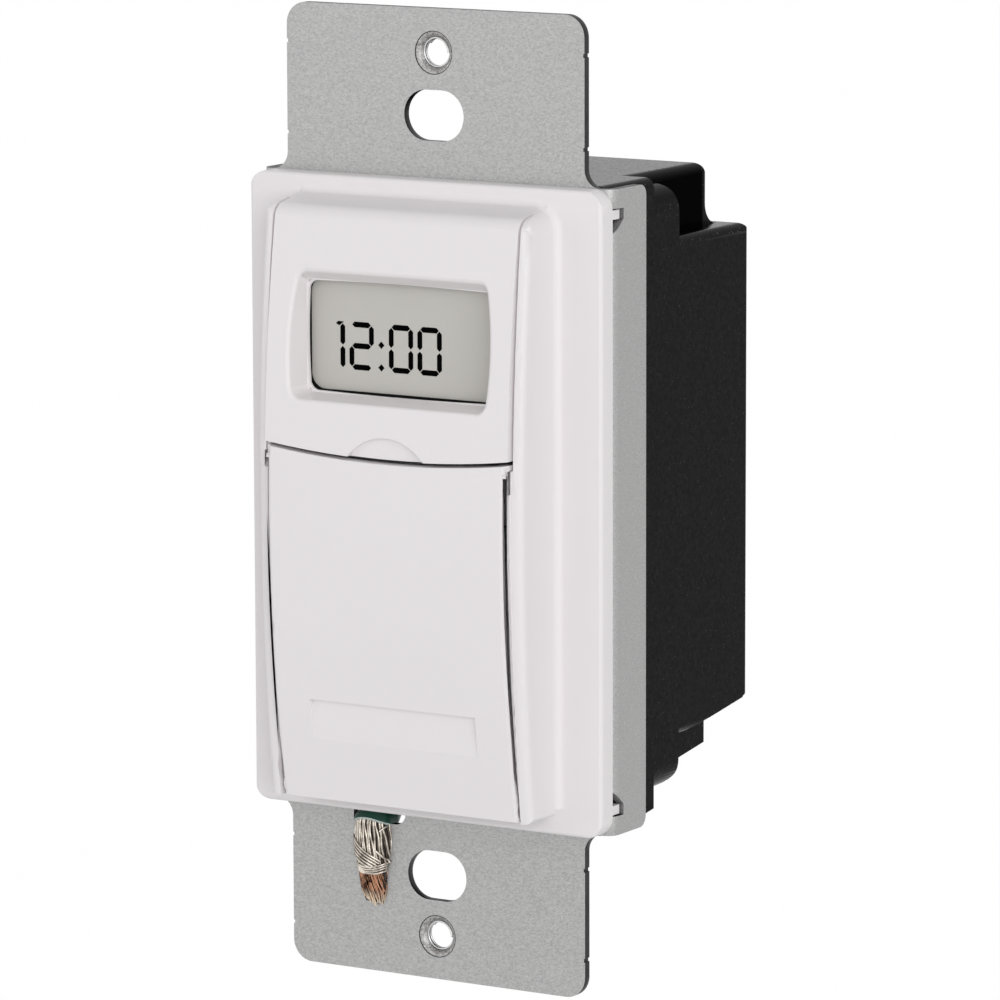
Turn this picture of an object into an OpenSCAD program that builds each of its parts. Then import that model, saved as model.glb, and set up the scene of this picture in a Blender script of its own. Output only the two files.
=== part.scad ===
// Timer light switch for a wall box: a steel strap with two ears, a white bezel with a display
// and a flip-down door over the keys, and a black rear housing with the power board inside.
// +Z is up, the front faces -Y and +X is to the right seen from the front. The origin is the
// centre of both screw-hole patterns on the strap's rear face, so y = 0 is the wall plane.

/* [Strap] */
// Thickness of the strap's sheet steel
strap_t = 1.0; // [0.8:0.1:1.3]
// Overall height of the strap
strap_h = 106.4; // [105:0.2:110]
// Step from the strap's side in to an ear
ear_step = 3.475; // [2.4:0.025:5]
// Corner radius of the ears
ear_r = 2.4; // [1.4:0.2:4]
// Outside radius of the side bends
bend_r = 1.5; // [1.4:0.1:2]
// Reach of the side flanges behind the wall plane
side_flange_d = 6.1; // [4.5:0.1:8]
// Distance between the two wall-plate screw holes
plate_pitch = 96.84; // [95:0.01:98]
// Tapped bore of the wall-plate screw holes
plate_bore = 2.9; // [2.5:0.1:3.2]
// Outside diameter of the drawn collar round a wall-plate screw hole
collar_d = 5.2; // [4.6:0.1:6]
// Height of that collar behind the strap
collar_h = 1.3; // [0.8:0.1:2]
// Distance between the two box-screw slots
box_pitch = 83.34; // [82:0.01:85]
// Width of a box-screw slot
slot_w = 7.5; // [6.5:0.1:8.5]
// Height of a box-screw slot
slot_h = 5.5; // [4.6:0.1:6]

/* [Bezel] */
// Width of the bezel's flange
bezel_w = 44.45; // [43:0.05:47]
// Height of the bezel's flange
bezel_h = 69.8; // [69:0.1:72]
// Thickness of the bezel's flange
bezel_t = 2.3; // [2:0.1:3]
// Corner radius of the bezel's flange
bezel_r = 2.2; // [1.5:0.1:4]
// Rounding of the flange's front edge
bezel_edge = 0.5; // [0.3:0.1:1]
// Width of the raised boss
boss_w = 33.4; // [33:0.1:34]
// Height of the raised boss
boss_h = 65.7; // [65.4:0.1:66.2]
// Radius of the boss's upper corners
boss_r = 2.4; // [1.5:0.1:3]
// Radius of the boss's lower corners
boss_foot_r = 0.9; // [0.5:0.1:1.4]
// Fillet between the boss and the flange
boss_fillet = 0.9; // [0.4:0.1:1.4]
// Rounding of the boss's top edge
boss_top_r = 2.0; // [1:0.1:2.5]
// Width of a side rail
rail_w = 1.4; // [1.2:0.1:1.8]
// Rise of the rails above the flange at mid height
rail_rise = 7.3; // [6.8:0.1:7.6]
// Arch radius of the rails
rail_arch = 270; // [240:5:320]
// Rounding of a rail's outer edge
rail_edge = 0.8; // [0.4:0.1:1.2]
// Rise of the arched face above the flange at mid height
face_rise = 8.0; // [7.8:0.1:8.6]
// Arch radius of the face and the door
face_arch = 195; // [180:5:230]
// Wall of the face
face_t = 1.5; // [1.2:0.1:1.8]
// Width of the crease between a rail and the face
crease_w = 0.3; // [0.2:0.05:0.5]
// Depth of that crease
crease_d = 0.5; // [0.2:0.1:0.8]

/* [Display] */
// Width of the display window
window_w = 23.9; // [20:0.1:24]
// Height of the display window
window_h = 12.3; // [10:0.1:13]
// Height of the window's centre above the origin
window_z = 18.0; // [17.4:0.1:18.6]
// Corner radius of the window
window_r = 0.8; // [0.5:0.1:2]
// Bow radius of the window's upright sides
window_side_bow = 70; // [30:5:120]
// Bow radius of the window's level sides
window_level_bow = 400; // [150:10:600]
// Width of the dish beside the window
dish_side = 0.7; // [0.5:0.05:1.5]
// Width of the dish above the window
dish_top = 1.1; // [0.6:0.1:1.4]
// Width of the dish below the window
dish_bottom = 0.5; // [0.4:0.1:1.5]
// Depth of the window's upright wall
window_wall = 0.5; // [0.4:0.1:1.2]
// Gap between that wall and the display glass
lcd_gap = 0.5; // [0.3:0.1:0.8]
// Margin of the display glass behind the window
lcd_margin = 1.6; // [1:0.1:1.9]
// Thickness of the display glass
lcd_t = 2.2; // [1.8:0.1:2.8]

/* [Door] */
// Height of the seam above the door, at its middle
seam_z = 5.6; // [5.2:0.1:6]
// Radius of the curved seam
seam_arch = 115; // [90:1:140]
// Gap of the seam
seam_gap = 0.45; // [0.2:0.05:0.6]
// Gap between the door and a rail
door_gap = 0.4; // [0.25:0.05:0.5]
// Wall of the door
door_t = 1.5; // [1.2:0.1:1.8]
// Depth of the door's side skirts
skirt_d = 2.2; // [1.8:0.1:2.6]
// Height of the hinge axis
hinge_z = -31.5; // [-31.7:0.1:-31.3]
// Distance of the hinge axis in front of the flange
hinge_rise = 4.1; // [3.9:0.1:4.3]
// Radius of the moulded hinge pins
pin_r = 0.7; // [0.5:0.05:0.8]
// Radial clearance of a hinge pin
pin_clear = 0.08; // [0.04:0.01:0.1]
// Reach of a hinge pin into its rail
pin_reach = 0.6; // [0.4:0.1:1]
// Width of the thumb recess above the door
thumb_w = 9.7; // [7:0.1:12]
// Height of the thumb recess
thumb_h = 2.4; // [1.5:0.1:3]
// Depth of the thumb recess
thumb_d = 0.8; // [0.3:0.1:1]
// Width of the shallow bare plate on the door
plate_w = 21; // [14:0.5:24]
// Height of that plate
plate_h = 4.4; // [3:0.1:6]
// Height of the plate's centre
plate_z = -23.7; // [-27:0.1:-20]
// Depth of that plate
plate_d = 0.3; // [0.1:0.05:0.4]

/* [Keys] */
// Width of a key
key_w = 6.4; // [5:0.1:7]
// Height of a key
key_h = 3.4; // [2.8:0.1:3.6]
// Gap round a key in the deck
key_gap = 0.25; // [0.15:0.05:0.3]
// Height of a key above the deck
key_proud = 0.9; // [0.6:0.1:1.1]
// Travel of a key
key_travel = 0.5; // [0.3:0.1:0.6]
// Pitch of the upper row of three keys
key_pitch_upper = 9; // [8.2:0.1:9.4]
// Pitch of the lower row of two keys
key_pitch_lower = 10; // [8.2:0.1:16]
// Height of the upper row
key_z_upper = -3.3; // [-3.4:0.1:-3.2]
// Height of the lower row
key_z_lower = -8.1; // [-8.3:0.1:-7.9]
// Radius of the on-off plunger
plunger_r = 1.3; // [1:0.1:1.4]
// Height of the on-off plunger
plunger_z = 1.1; // [1.1:0.1:1.2]

/* [Battery] */
// Diameter of the battery
battery_d = 15.6; // [14.6:0.1:15.6]
// Length of the battery
battery_l = 27; // [25:0.5:27]
// Height of the battery's axis
battery_z = -20.4; // [-20.6:0.1:-20.4]

/* [Housing] */
// Depth of the housing's front rim
rim_d = 9.8; // [8.5:0.1:11]
// Depth of the housing's pillars
pillar_d = 15.2; // [14:0.1:16]
// Depth of the housing's main box
box_d = 30.7; // [29.6:0.1:36]
// Depth of the narrow core
core_d = 26.2; // [24:0.1:28]
// Rounding of the pillars, down to the sides of the narrow core
pillar_r = 3.075; // [2.5:0.025:3.5]
// Height of the rim's top
rim_top = 35.1; // [34.8:0.1:36]
// Height of the rim's bottom at the wall plane
rim_bottom = -35.2; // [-36:0.1:-35]
// Height of the pillars' tops
pillar_top = 34; // [32:0.1:34.6]
// Height of the main box's top
box_top = 28.2; // [27.8:0.1:29.5]
// Height of the main box's bottom where it leaves the pillars
box_bottom = -26.8; // [-28:0.1:-26.4]
// Height of the pillars' bottoms where they leave the rim
pillar_bottom = -32.4; // [-33:0.1:-32.2]
// Height of the core's bottom where it leaves the rim
core_bottom = -31.9; // [-32.2:0.1:-31.2]
// Upward rake of the undersides
rake = 8; // [4:0.5:11]
// Wall of the housing
housing_wall = 2.0; // [1.6:0.1:2.2]
// Edge rounding of the housing
housing_edge = 1.2; // [1:0.1:2]
// Rounding of the upright back edges
back_edge = 0.8; // [0.5:0.1:1.6]
// Bore of a lead inlet in the back
inlet_d = 3.8; // [3:0.1:4.6]
// Pitch of the lead inlets
inlet_pitch = 10; // [9:0.5:12]

/* [Boards] */
// Thickness of the two circuit boards
board_t = 1.6; // [1.2:0.1:1.8]
// Distance of the control board behind the wall plane
control_board_y = 2.0; // [1.8:0.1:2.4]
// Length of the stacking connector between the boards
connector_l = 10; // [9.8:0.1:10.6]
// Diameter of the housing screws' shanks
screw_d = 1.8; // [1.6:0.1:2.2]
// Length of the housing screws' shanks
screw_l = 8; // [6:0.5:9]

/* [Ground lead] */
// Diameter of the green insulated lead
lead_d = 3.8; // [3.2:0.1:3.9]
// Width of the tinned strands on the lower ear
strand_w = 4.3; // [3.6:0.1:4.8]
// Thickness of the tinned strands
strand_t = 1.5; // [1:0.1:1.8]
// Width of the copper tail
tail_w = 3.3; // [2.6:0.1:3.6]
// Thickness of the copper tail
tail_t = 0.9; // [0.6:0.1:1.2]
// Place of the lead across the lower ear
lead_x = -8.2; // [-8.5:0.1:-7.8]

/* [Hidden] */
$fn = 96;

// Segments of the large arcs
arch_fn = 360;
// Overshoot of a cut past the face that it opens
cut = 1;
// Clearance between pieces that are fitted together
fit = 0.15;

// Depth levels from the wall plane forward
y_strap = -strap_t;
y_flange = y_strap - bezel_t;
y_rail = y_flange - rail_rise;
y_face = y_flange - face_rise;

// Strap
side_x = bezel_w / 2;
window_inset = 0.175;
ear_w = bezel_w - 2 * ear_step;
strap_core_w = 2 * (side_x - bend_r);
flare_r = strap_core_w / 2 - ear_w / 2;
strap_window_w = 2 * (side_x - strap_t - fit - housing_wall - window_inset);
strap_window_h = 2 * (-pillar_bottom - housing_wall) - 0.4;
strap_window_r = 2;
side_flange_r = 1.2;
lead_in_r = 0.9;
nick_d = 0.15;
nick_h = 0.4;
nick_step = 2.7;
nick_inner_z = box_pitch / 2 - nick_step;
nick_outer_z = plate_pitch / 2 + 0.5;
notch_w = 6.7;
notch_reach = 2.55;
notch_left = lead_x - notch_reach;
notch_bottom = -36.5;
notch_top = -32.5;
notch_r = 1.3;
snap_z = 32.8;
snap_h = 3.1;
snap_step = 1.1;
snap_d = 1.4;
joint_core = 0.4;
joint_step = 1;
hook_h = 1;
hook_d = 0.9;

// Housing width and corners
housing_x = side_x - strap_t - fit;
core_x = housing_x - pillar_r;
rake_rise = tan(rake);
bend_relief = bend_r - strap_t + 0.1;

// Housing screws, from the strap into the housing
screw_wall = 1.0;
screw_z = 32.8;
screw_head_d = 3.6;
screw_head_h = 1.0;
screw_boss_r = 2.3;
screw_x = housing_x - screw_boss_r - screw_wall;
screw_inset = 1;
screw_end = 1.2;
control_board_top = screw_z - screw_inset - screw_boss_r - 2 * fit;

// Front face
rail_in = boss_w / 2 - rail_w;
boss_slope = 0.6;
boss_round_z = boss_h / 2 - boss_slope - boss_top_r;
boss_round_y = face_y(boss_round_z) + boss_top_r;
arch_half = 11.5;
sill_z = -boss_h / 2 + 0.6;
cavity_x = rail_in - face_t;
cavity_top = boss_round_z;

// Display
window_top = window_z + window_h / 2;
window_bottom = window_z - window_h / 2;
dish_least = 1.87;
dish_reach = 5;
lcd_seat = 0.8;
y_dish = face_y(window_top + dish_top) + dish_least;
y_window_back = y_dish + window_wall;
y_lcd = y_window_back + lcd_gap;
y_lcd_back = y_lcd + lcd_t;
lcd_w = window_w + 2 * lcd_margin;
lcd_h = window_h + 2 * lcd_margin;
holder_wall = 1;
zebra_inset = 2;
zebra_t = 1.5;

// Door
y_hinge = y_flange - hinge_rise;
door_x = rail_in - door_gap;
door_bottom = -boss_h / 2 + 0.1;
door_edge = 0.5;
door_lip_w = 0.8;
door_lip_t = 0.6;
knuckle_r = pin_r + 0.5;
knuckle_w = 3;
lug_h = 1.6;
lug_d = 1.2;
lug_gap = 0.05;
rib_w = 5;
press_gap = 0.6;
thumb_r = (pow(thumb_w / 2, 2) + pow(thumb_h, 2)) / (2 * thumb_h);

// Keypad deck
deck_t = 1.4;
deck_wall = 1.2;
deck_step = 1.6;
y_deck = y_flange - deck_step;
y_deck_back = y_deck + deck_t;
deck_x = rail_in - door_gap;
deck_top = seam_z - 0.6;
deck_bottom = hinge_z + 1.1;
deck_base_t = 1.4;
y_deck_base = y_strap + deck_base_t;
deck_base_w = strap_window_w - 2 * fit;
deck_base_h = strap_window_h - 2 * fit;
deck_post_r = 1.2;
deck_post_x = strap_window_w / 2 - deck_post_r - 1.5;
deck_post_zs = [key_z_lower + 1, control_board_top - deck_post_r];
display_bay_w = lcd_w + 1.2;
display_bay_h = 20.4;
tray_bay_x = battery_l / 2 + 0.3;
tray_bay_top = battery_z + battery_d / 2 + 0.2;
tray_bay_bottom = battery_z - battery_d / 2 - 1.0;

// Keys and their switches
key_r = 0.9;
key_flange_t = 0.8;
key_flange_w = 0.6;
switch_size = 4.2;
switch_h = 1.5;
switch_button_r = 1.1;
switch_button_h = 0.6;
y_switch = control_board_y - switch_h - switch_button_h;
y_key_end = y_switch - key_travel - 0.1;
key_stem_r = 1.0;
plunger_front = y_face + door_t + press_gap + 1.8;
key_places = [
    [-key_pitch_upper, key_z_upper], [0, key_z_upper], [key_pitch_upper, key_z_upper],
    [-key_pitch_lower / 2, key_z_lower], [key_pitch_lower / 2, key_z_lower]
];

// Boards and what stands on them
control_board_back = control_board_y + board_t;
board_clear = 1.475;
control_board_x = housing_x - housing_wall - board_clear;
control_board_bottom = key_z_lower - switch_size / 2 - 0.2;
power_board_y = control_board_back + connector_l;
power_board_back = power_board_y + board_t;
power_board_x = housing_x - housing_wall - board_clear;
power_board_top = box_top - housing_wall - 0.6;
power_board_bottom = -22;
connector_w = 16;
connector_h = 2.6;
connector_z = 8;

// Chips and the crystal on the control board
chip_size = 10;
chip_h = 1.6;
chip_place = [-6, 20];
driver_w = 5;
driver_h = 4;
driver_t = 1.5;
driver_place = [8, 22];
crystal_d = 3;
crystal_l = 6;
crystal_place = [8, 14];

// Parts on the power board
relay_w = 15.5;
relay_h = 19;
part_clear = 1.7;
relay_d = box_d - housing_wall - power_board_back - part_clear;
relay_place = [-7, 12];
film_w = 7;
film_h = 16;
film_d = relay_d - 0.5;
film_place = [11, 15];
can_r = 2.9;
can_l = relay_d - 1.5;
can_z = -4;
can_xs = [6.5, 13];
disc_t = 3.6;
disc_stand = 2.3;
disc_d = relay_d - 0.5 - disc_stand;
disc_rise = disc_stand + disc_d / 2;
disc_place = [-14, -3];
disc_lead_t = 0.8;
disc_lead_w = disc_d - 3;
tab_t = 0.8;
tab_w = 4.8;
tab_l = 5;
earth_tab_h = 2.6;
earth_tab_z = -19.6;

// Battery
tray_rib_x = 10.2;
tray_rib_w = 1.6;
tray_rib_t = 0.9;
nail_w = 8;
nail_h = 1.6;
nail_d = 0.6;
nail_rise = 5;
battery_cap_r = 3.2;
battery_cap_h = 0.9;
y_battery = y_deck_back + 0.2 + battery_d / 2;
contact_t = 0.35;
contact_w = 6;
contact_reach = 4;
contact_front = y_battery - contact_reach;
contact_gap = 0.05;
contact_foot = 2.4;

// Housing
ledge_r = 2.4;
cavity_box_x = housing_x - housing_wall;
cavity_core_x = core_x - housing_wall;
rib_x = 2;
rib_h = 4;
rib_zs = [-17, 20];
collar_rise = 1.0;
collar_wall = 1.3;
inlet_z = -14;
recess_w = 10;
recess_d = 6;
recess_top = pillar_bottom + housing_wall + 0.4;

// Ground lead: its route from the strap up into the housing and to its terminal
lead_sides = 8;
lead_route = [
    [0.55, -36.7], [1.4, -35.6], [2.3, -34.45], [3.4, -33.2], [4.9, -31.95], [6.6, -30.9], [8.4, -30.0], [10.2, -29.0],
    [11.8, -27.8], [13.3, -26.3], [14.8, -25.1], [16.3, -24.0], [17.5, -22.7], [18.0, -21.2], [18.0, -19.8]
];
trench_rise = 0.68 * lead_d + fit;
trench_d = pillar_d - housing_wall + 0.7;
trench_top = recess_top + lead_d;
strand_bottom = -41.8;
tail_bottom = -45.8;

// Depth of the arched face at a height
function face_y(z) = y_face + face_arch - sqrt(pow(face_arch, 2) - pow(z, 2));

// Plate: an outline drawn in X and Z, from depth y0 to y1
module plate(y0, y1) {
    translate([0, y1, 0]) rotate([90, 0, 0]) linear_extrude(y1 - y0) children();
}

// Bar: an outline drawn in Y and Z, from x0 to x1
module bar_x(x0, x1) {
    translate([x0, 0, 0]) rotate([90, 0, 90]) linear_extrude(x1 - x0) children();
}

// Post: an outline drawn in X and Y, from z0 to z1
module post_z(z0, z1) {
    translate([0, 0, z0]) linear_extrude(z1 - z0) children();
}

// Rod along Y, from y0 to y1
module rod_y(x, z, y0, y1, r) {
    translate([x, y0, z]) rotate([-90, 0, 0]) cylinder(r = r, h = y1 - y0);
}

// Rod along X, from x0 to x1
module rod_x(y, z, x0, x1, r) {
    translate([x0, y, z]) rotate([0, 90, 0]) cylinder(r = r, h = x1 - x0);
}

// Rectangle with round corners, centred on the origin
module soft_rect(w, h, r) {
    square([w - 2 * r, h], center = true);
    square([w, h - 2 * r], center = true);
    for (sx = [-1, 1], sz = [-1, 1]) {
        translate([sx * (w / 2 - r), sz * (h / 2 - r)]) circle(r);
    }
}

// Rectangle between two corners
module span_rect(x0, z0, x1, z1) {
    translate([x0, z0]) square([x1 - x0, z1 - z0]);
}

// Fillet outline in the corner of two faces along +x and +y
module fillet(r) {
    difference() {
        square(r);
        translate([r, r]) circle(r);
    }
}

// Copies on both sides of the upright middle plane
module both_sides() {
    children();
    mirror([1, 0, 0]) children();
}

// Copies at the four corners
module four_corners() {
    both_sides() {
        children();
        mirror([0, 0, 1]) children();
    }
}

// Revolved stretch of an arched front: the outline's x is the radius and its y runs along X
module arch(radius, front_y) {
    translate([0, front_y + radius, 0])
        rotate([0, 90, 0])
            rotate([0, 0, -90 - arch_half])
                rotate_extrude(angle = 2 * arch_half, $fn = arch_fn) children();
}

// Mounting strap

module strap_outline() {
    difference() {
        union() {
            soft_rect(ear_w, strap_h, ear_r);
            square([strap_core_w, bezel_h], center = true);
            for (sx = [0, 1], sz = [0, 1]) {
                mirror([sx, 0]) mirror([0, sz]) translate([ear_w / 2, bezel_h / 2]) fillet(flare_r);
            }
        }
        soft_rect(strap_window_w, strap_window_h, strap_window_r);
        for (sz = [-1, 1]) {
            translate([0, sz * box_pitch / 2]) soft_slot();
            translate([0, sz * plate_pitch / 2]) circle(d = plate_bore);
            for (sx = [-1, 1]) {
                translate([sx * screw_x, sz * screw_z]) circle(d = screw_d + 2 * fit);
                for (z = [nick_inner_z, nick_outer_z]) {
                    translate([sx * ear_w / 2, sz * z]) square([2 * nick_d, nick_h], center = true);
                }
            }
        }
        difference() {
            span_rect(notch_left, notch_bottom, notch_left + notch_w, notch_top);
            translate([notch_left + notch_w, notch_bottom]) mirror([1, 0]) fillet(notch_r);
        }
    }
}

module soft_slot() {
    square([slot_w - slot_h, slot_h], center = true);
    for (s = [-1, 1]) translate([s * (slot_w - slot_h) / 2, 0]) circle(d = slot_h);
}

// One bend and its side flange, drawn in X and Y
module side_flange_outline() {
    translate([side_x - bend_r, y_strap + bend_r]) {
        intersection() {
            difference() {
                circle(bend_r);
                circle(bend_r - strap_t);
            }
            translate([0, -bend_r]) square(bend_r);
        }
        translate([bend_r - strap_t, 0]) square([strap_t, side_flange_d - y_strap - bend_r]);
    }
}

// Snap window at a bend, drawn in Y and Z
module snap_outline() {
    polygon([
        [y_strap - cut, snap_z], [snap_d, snap_z], [snap_d, snap_z - snap_step],
        [y_strap, snap_z - snap_h], [y_strap - cut, snap_z - snap_h]
    ]);
}

// Drawn collar of a wall-plate screw hole, with a round lead-in at the front
module collar_outline() {
    difference() {
        span_rect(plate_bore / 2, -0.01, collar_d / 2, collar_h);
        translate([collar_d / 2, collar_h]) rotate(180) fillet(0.4);
    }
}

module mounting_strap() color("silver") {
    difference() {
        union() {
            plate(y_strap, 0) strap_outline();
            both_sides() difference() {
                post_z(-bezel_h / 2, bezel_h / 2) side_flange_outline();
                for (s = [0, 1]) mirror([0, 0, s]) {
                    bar_x(side_x - bend_r, side_x + cut) snap_outline();
                    bar_x(side_x - bend_r, side_x + cut)
                        translate([side_flange_d, bezel_h / 2]) rotate(180) fillet(side_flange_r);
                }
            }
            // Core of the joint between the plate and a bend
            both_sides() post_z(snap_h - snap_z + joint_step, snap_z - snap_h - joint_step)
                translate([strap_core_w / 2, y_strap + strap_t / 2]) square(joint_core, center = true);
            for (sz = [-1, 1]) {
                translate([0, 0, sz * plate_pitch / 2]) rotate([-90, 0, 0])
                    rotate_extrude() collar_outline();
            }
        }
        for (sz = [-1, 1]) {
            translate([0, y_strap, sz * plate_pitch / 2]) rotate([-90, 0, 0])
                cylinder(r1 = plate_bore / 2 + lead_in_r, r2 = plate_bore / 2, h = lead_in_r * 0.7);
        }
    }
}

// Front bezel with the display face

// Section of the flange with both front edges rounded: x across, y in depth
module flange_section(width) {
    span_rect(-width / 2, y_flange + bezel_edge, width / 2, y_strap);
    span_rect(-width / 2 + bezel_edge, y_flange, width / 2 - bezel_edge, y_strap);
    for (s = [-1, 1]) translate([s * (width / 2 - bezel_edge), y_flange + bezel_edge]) circle(bezel_edge);
}

module bezel_flange() {
    intersection() {
        plate(y_flange, y_strap) soft_rect(bezel_w, bezel_h, bezel_r);
        post_z(-bezel_h / 2, bezel_h / 2) flange_section(bezel_w);
        bar_x(-bezel_w / 2, bezel_w / 2) mirror([1, -1]) flange_section(bezel_h);
    }
}

// Side view of the boss with its round, sloping top, drawn in Y and Z
module boss_side(inset) {
    polygon([
        [y_face - cut, -boss_h / 2], [y_strap, -boss_h / 2], [y_strap, boss_h / 2],
        [y_flange - boss_fillet - fit, boss_h / 2], [boss_round_y, boss_round_z + boss_top_r - inset],
        [boss_round_y, boss_round_z], [y_face - cut, boss_round_z]
    ]);
    translate([boss_round_y, boss_round_z]) circle(boss_top_r - inset);
}

// Section of the right rail: x is the radius of its arch, y runs along X
module rail_section() {
    inner = rail_arch - rail_rise - bezel_t;
    span_rect(inner, rail_in, rail_arch - rail_edge, boss_w / 2);
    span_rect(inner, rail_in, rail_arch, boss_w / 2 - rail_edge);
    translate([rail_arch - rail_edge, boss_w / 2 - rail_edge]) circle(rail_edge);
}

// Outline of the boss with wider upper corners, drawn in X and Z
module boss_outline() {
    side = boss_w / 2;
    end = boss_h / 2;
    span_rect(-side, -end + boss_foot_r, side, end - boss_r);
    span_rect(-side + boss_foot_r, -end, side - boss_foot_r, 0);
    span_rect(-side + boss_r, 0, side - boss_r, end);
    for (s = [-1, 1]) {
        translate([s * (side - boss_r), end - boss_r]) circle(boss_r);
        translate([s * (side - boss_foot_r), -end + boss_foot_r]) circle(boss_foot_r);
    }
}

module bezel_boss() {
    intersection() {
        plate(y_face - cut, y_strap) boss_outline();
        bar_x(-boss_w / 2, boss_w / 2) boss_side(0);
        union() {
            both_sides() arch(rail_arch, y_rail) rail_section();
            arch(face_arch, y_face)
                span_rect(face_arch - face_rise - bezel_t, -rail_in, face_arch, rail_in);
        }
    }
    both_sides() {
        post_z(-boss_h / 2 + boss_foot_r, boss_h / 2 - boss_r)
            translate([boss_w / 2, y_flange]) mirror([0, 1]) fillet(boss_fillet);
        translate([boss_w / 2 - boss_r, y_flange, boss_h / 2 - boss_r]) rotate([90, 0, 0])
            rotate_extrude(angle = 90) translate([boss_r, 0]) fillet(boss_fillet);
    }
    bar_x(-boss_w / 2 + boss_r, boss_w / 2 - boss_r)
        translate([y_flange, boss_h / 2]) mirror([1, 0]) fillet(boss_fillet);
}

// Hooks that snap through the windows in the strap's bends
module bezel_hooks() {
    four_corners() bar_x(housing_x + fit / 2, side_x - 2 * fit)
        span_rect(y_strap - fit, snap_z - fit - hook_h, hook_d, snap_z - fit);
}

// Outline below the curved seam, lowered by a gap
module below_seam(half_w, bottom, gap) {
    difference() {
        span_rect(-half_w, bottom, half_w, seam_z + boss_w / 4);
        translate([0, seam_z + seam_arch]) circle(seam_arch + gap, $fn = arch_fn);
    }
}

// Hollow behind the display face
module face_hollow() {
    difference() {
        intersection() {
            plate(y_face - cut, y_strap + cut) intersection() {
                span_rect(-cavity_x, 0, cavity_x, cavity_top);
                translate([0, seam_z + seam_arch]) circle(seam_arch - face_t, $fn = arch_fn);
            }
            arch(face_arch, y_face)
                span_rect(face_arch - face_rise - 3 * bezel_t, -boss_w, face_arch - face_t, boss_w);
        }
        plate(y_face - cut, y_lcd) translate([0, window_z])
            square([lcd_w + 2 * fit, lcd_h + 2 * fit], center = true);
    }
    plate(y_lcd, y_strap + cut) translate([0, window_z])
        square([lcd_w + 2 * fit, lcd_h + 2 * fit], center = true);
}

// Outline of the display window with its sides bowed, grown by a margin
module window_outline(grow) {
    w = window_w + 2 * grow;
    h = window_h + 2 * grow;
    intersection() {
        soft_rect(w, h, window_r);
        translate([window_side_bow - w / 2, 0]) circle(window_side_bow, $fn = arch_fn);
        translate([w / 2 - window_side_bow, 0]) circle(window_side_bow, $fn = arch_fn);
        translate([0, h / 2 - window_level_bow]) circle(window_level_bow, $fn = arch_fn);
        translate([0, window_level_bow - h / 2]) circle(window_level_bow, $fn = arch_fn);
    }
}

// Thin slice of the dish at a depth, with its own margins round the window
module dish_slice(y, side, top, bottom) {
    h = window_h + top + bottom;
    plate(y - 0.01, y) translate([0, window_z + (top - bottom) / 2])
        soft_rect(window_w + 2 * side, h, window_r + side / 2, $fn = 32);
}

module display_opening() {
    run_side = dish_side * dish_reach / (y_dish - face_y(window_z));
    run_top = dish_top * dish_reach / (y_dish - face_y(window_top + dish_top));
    run_bottom = dish_bottom * dish_reach / (y_dish - face_y(window_bottom - dish_bottom));
    plate(y_face - cut, y_lcd + cut) translate([0, window_z]) window_outline(0);
    plate(y_window_back, y_lcd + cut) translate([0, window_z]) window_outline(lcd_seat);
    hull() {
        dish_slice(y_dish, 0, 0, 0);
        dish_slice(y_dish - dish_reach, run_side, run_top, run_bottom);
    }
}

module face_creases() {
    both_sides() bar_x(rail_in, rail_in + crease_w) difference() {
        span_rect(y_face - cut, seam_z, y_flange, boss_h / 2 + cut);
        intersection() {
            boss_side(crease_d);
            translate([y_rail + rail_arch, 0]) circle(rail_arch - crease_d, $fn = arch_fn);
        }
    }
}

module front_bezel() color("whitesmoke") difference() {
    union() {
        bezel_flange();
        bezel_boss();
        bezel_hooks();
    }
    face_hollow();
    display_opening();
    face_creases();
    plate(y_face - cut, y_strap + cut) below_seam(rail_in, sill_z, 0);
    plate(y_face - cut, y_flange) below_seam(rail_in, -bezel_h / 2, 0);
    rod_y(0, seam_z + thumb_h - thumb_r, y_face - cut, y_face + thumb_d, thumb_r);
    both_sides() rod_x(y_hinge, hinge_z, rail_in - cut, rail_in + pin_reach, pin_r + pin_clear);
    four_corners() rod_y(screw_x, screw_z, y_strap - screw_head_h - fit, y_strap + cut, screw_head_d / 2 + fit);
}

// Door with its moulded hinge pins

// Section of the door's arched wall, with thin lips beside its skirts: x is the radius of its
// arch, y runs along X
module door_section() {
    inner_x = door_x - door_lip_w;
    span_rect(face_arch - door_t, -inner_x, face_arch - door_lip_t, inner_x);
    span_rect(face_arch - door_lip_t, -door_x, face_arch - door_edge, door_x);
    span_rect(face_arch - door_edge, -door_x + door_edge, face_arch, door_x - door_edge);
    for (s = [-1, 1]) {
        translate([face_arch - door_edge, s * (door_x - door_edge)]) circle(door_edge);
        mirror([0, s > 0 ? 1 : 0])
            span_rect(face_arch - skirt_d, inner_x - door_t * 0.7, face_arch - door_t, inner_x);
    }
}

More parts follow.
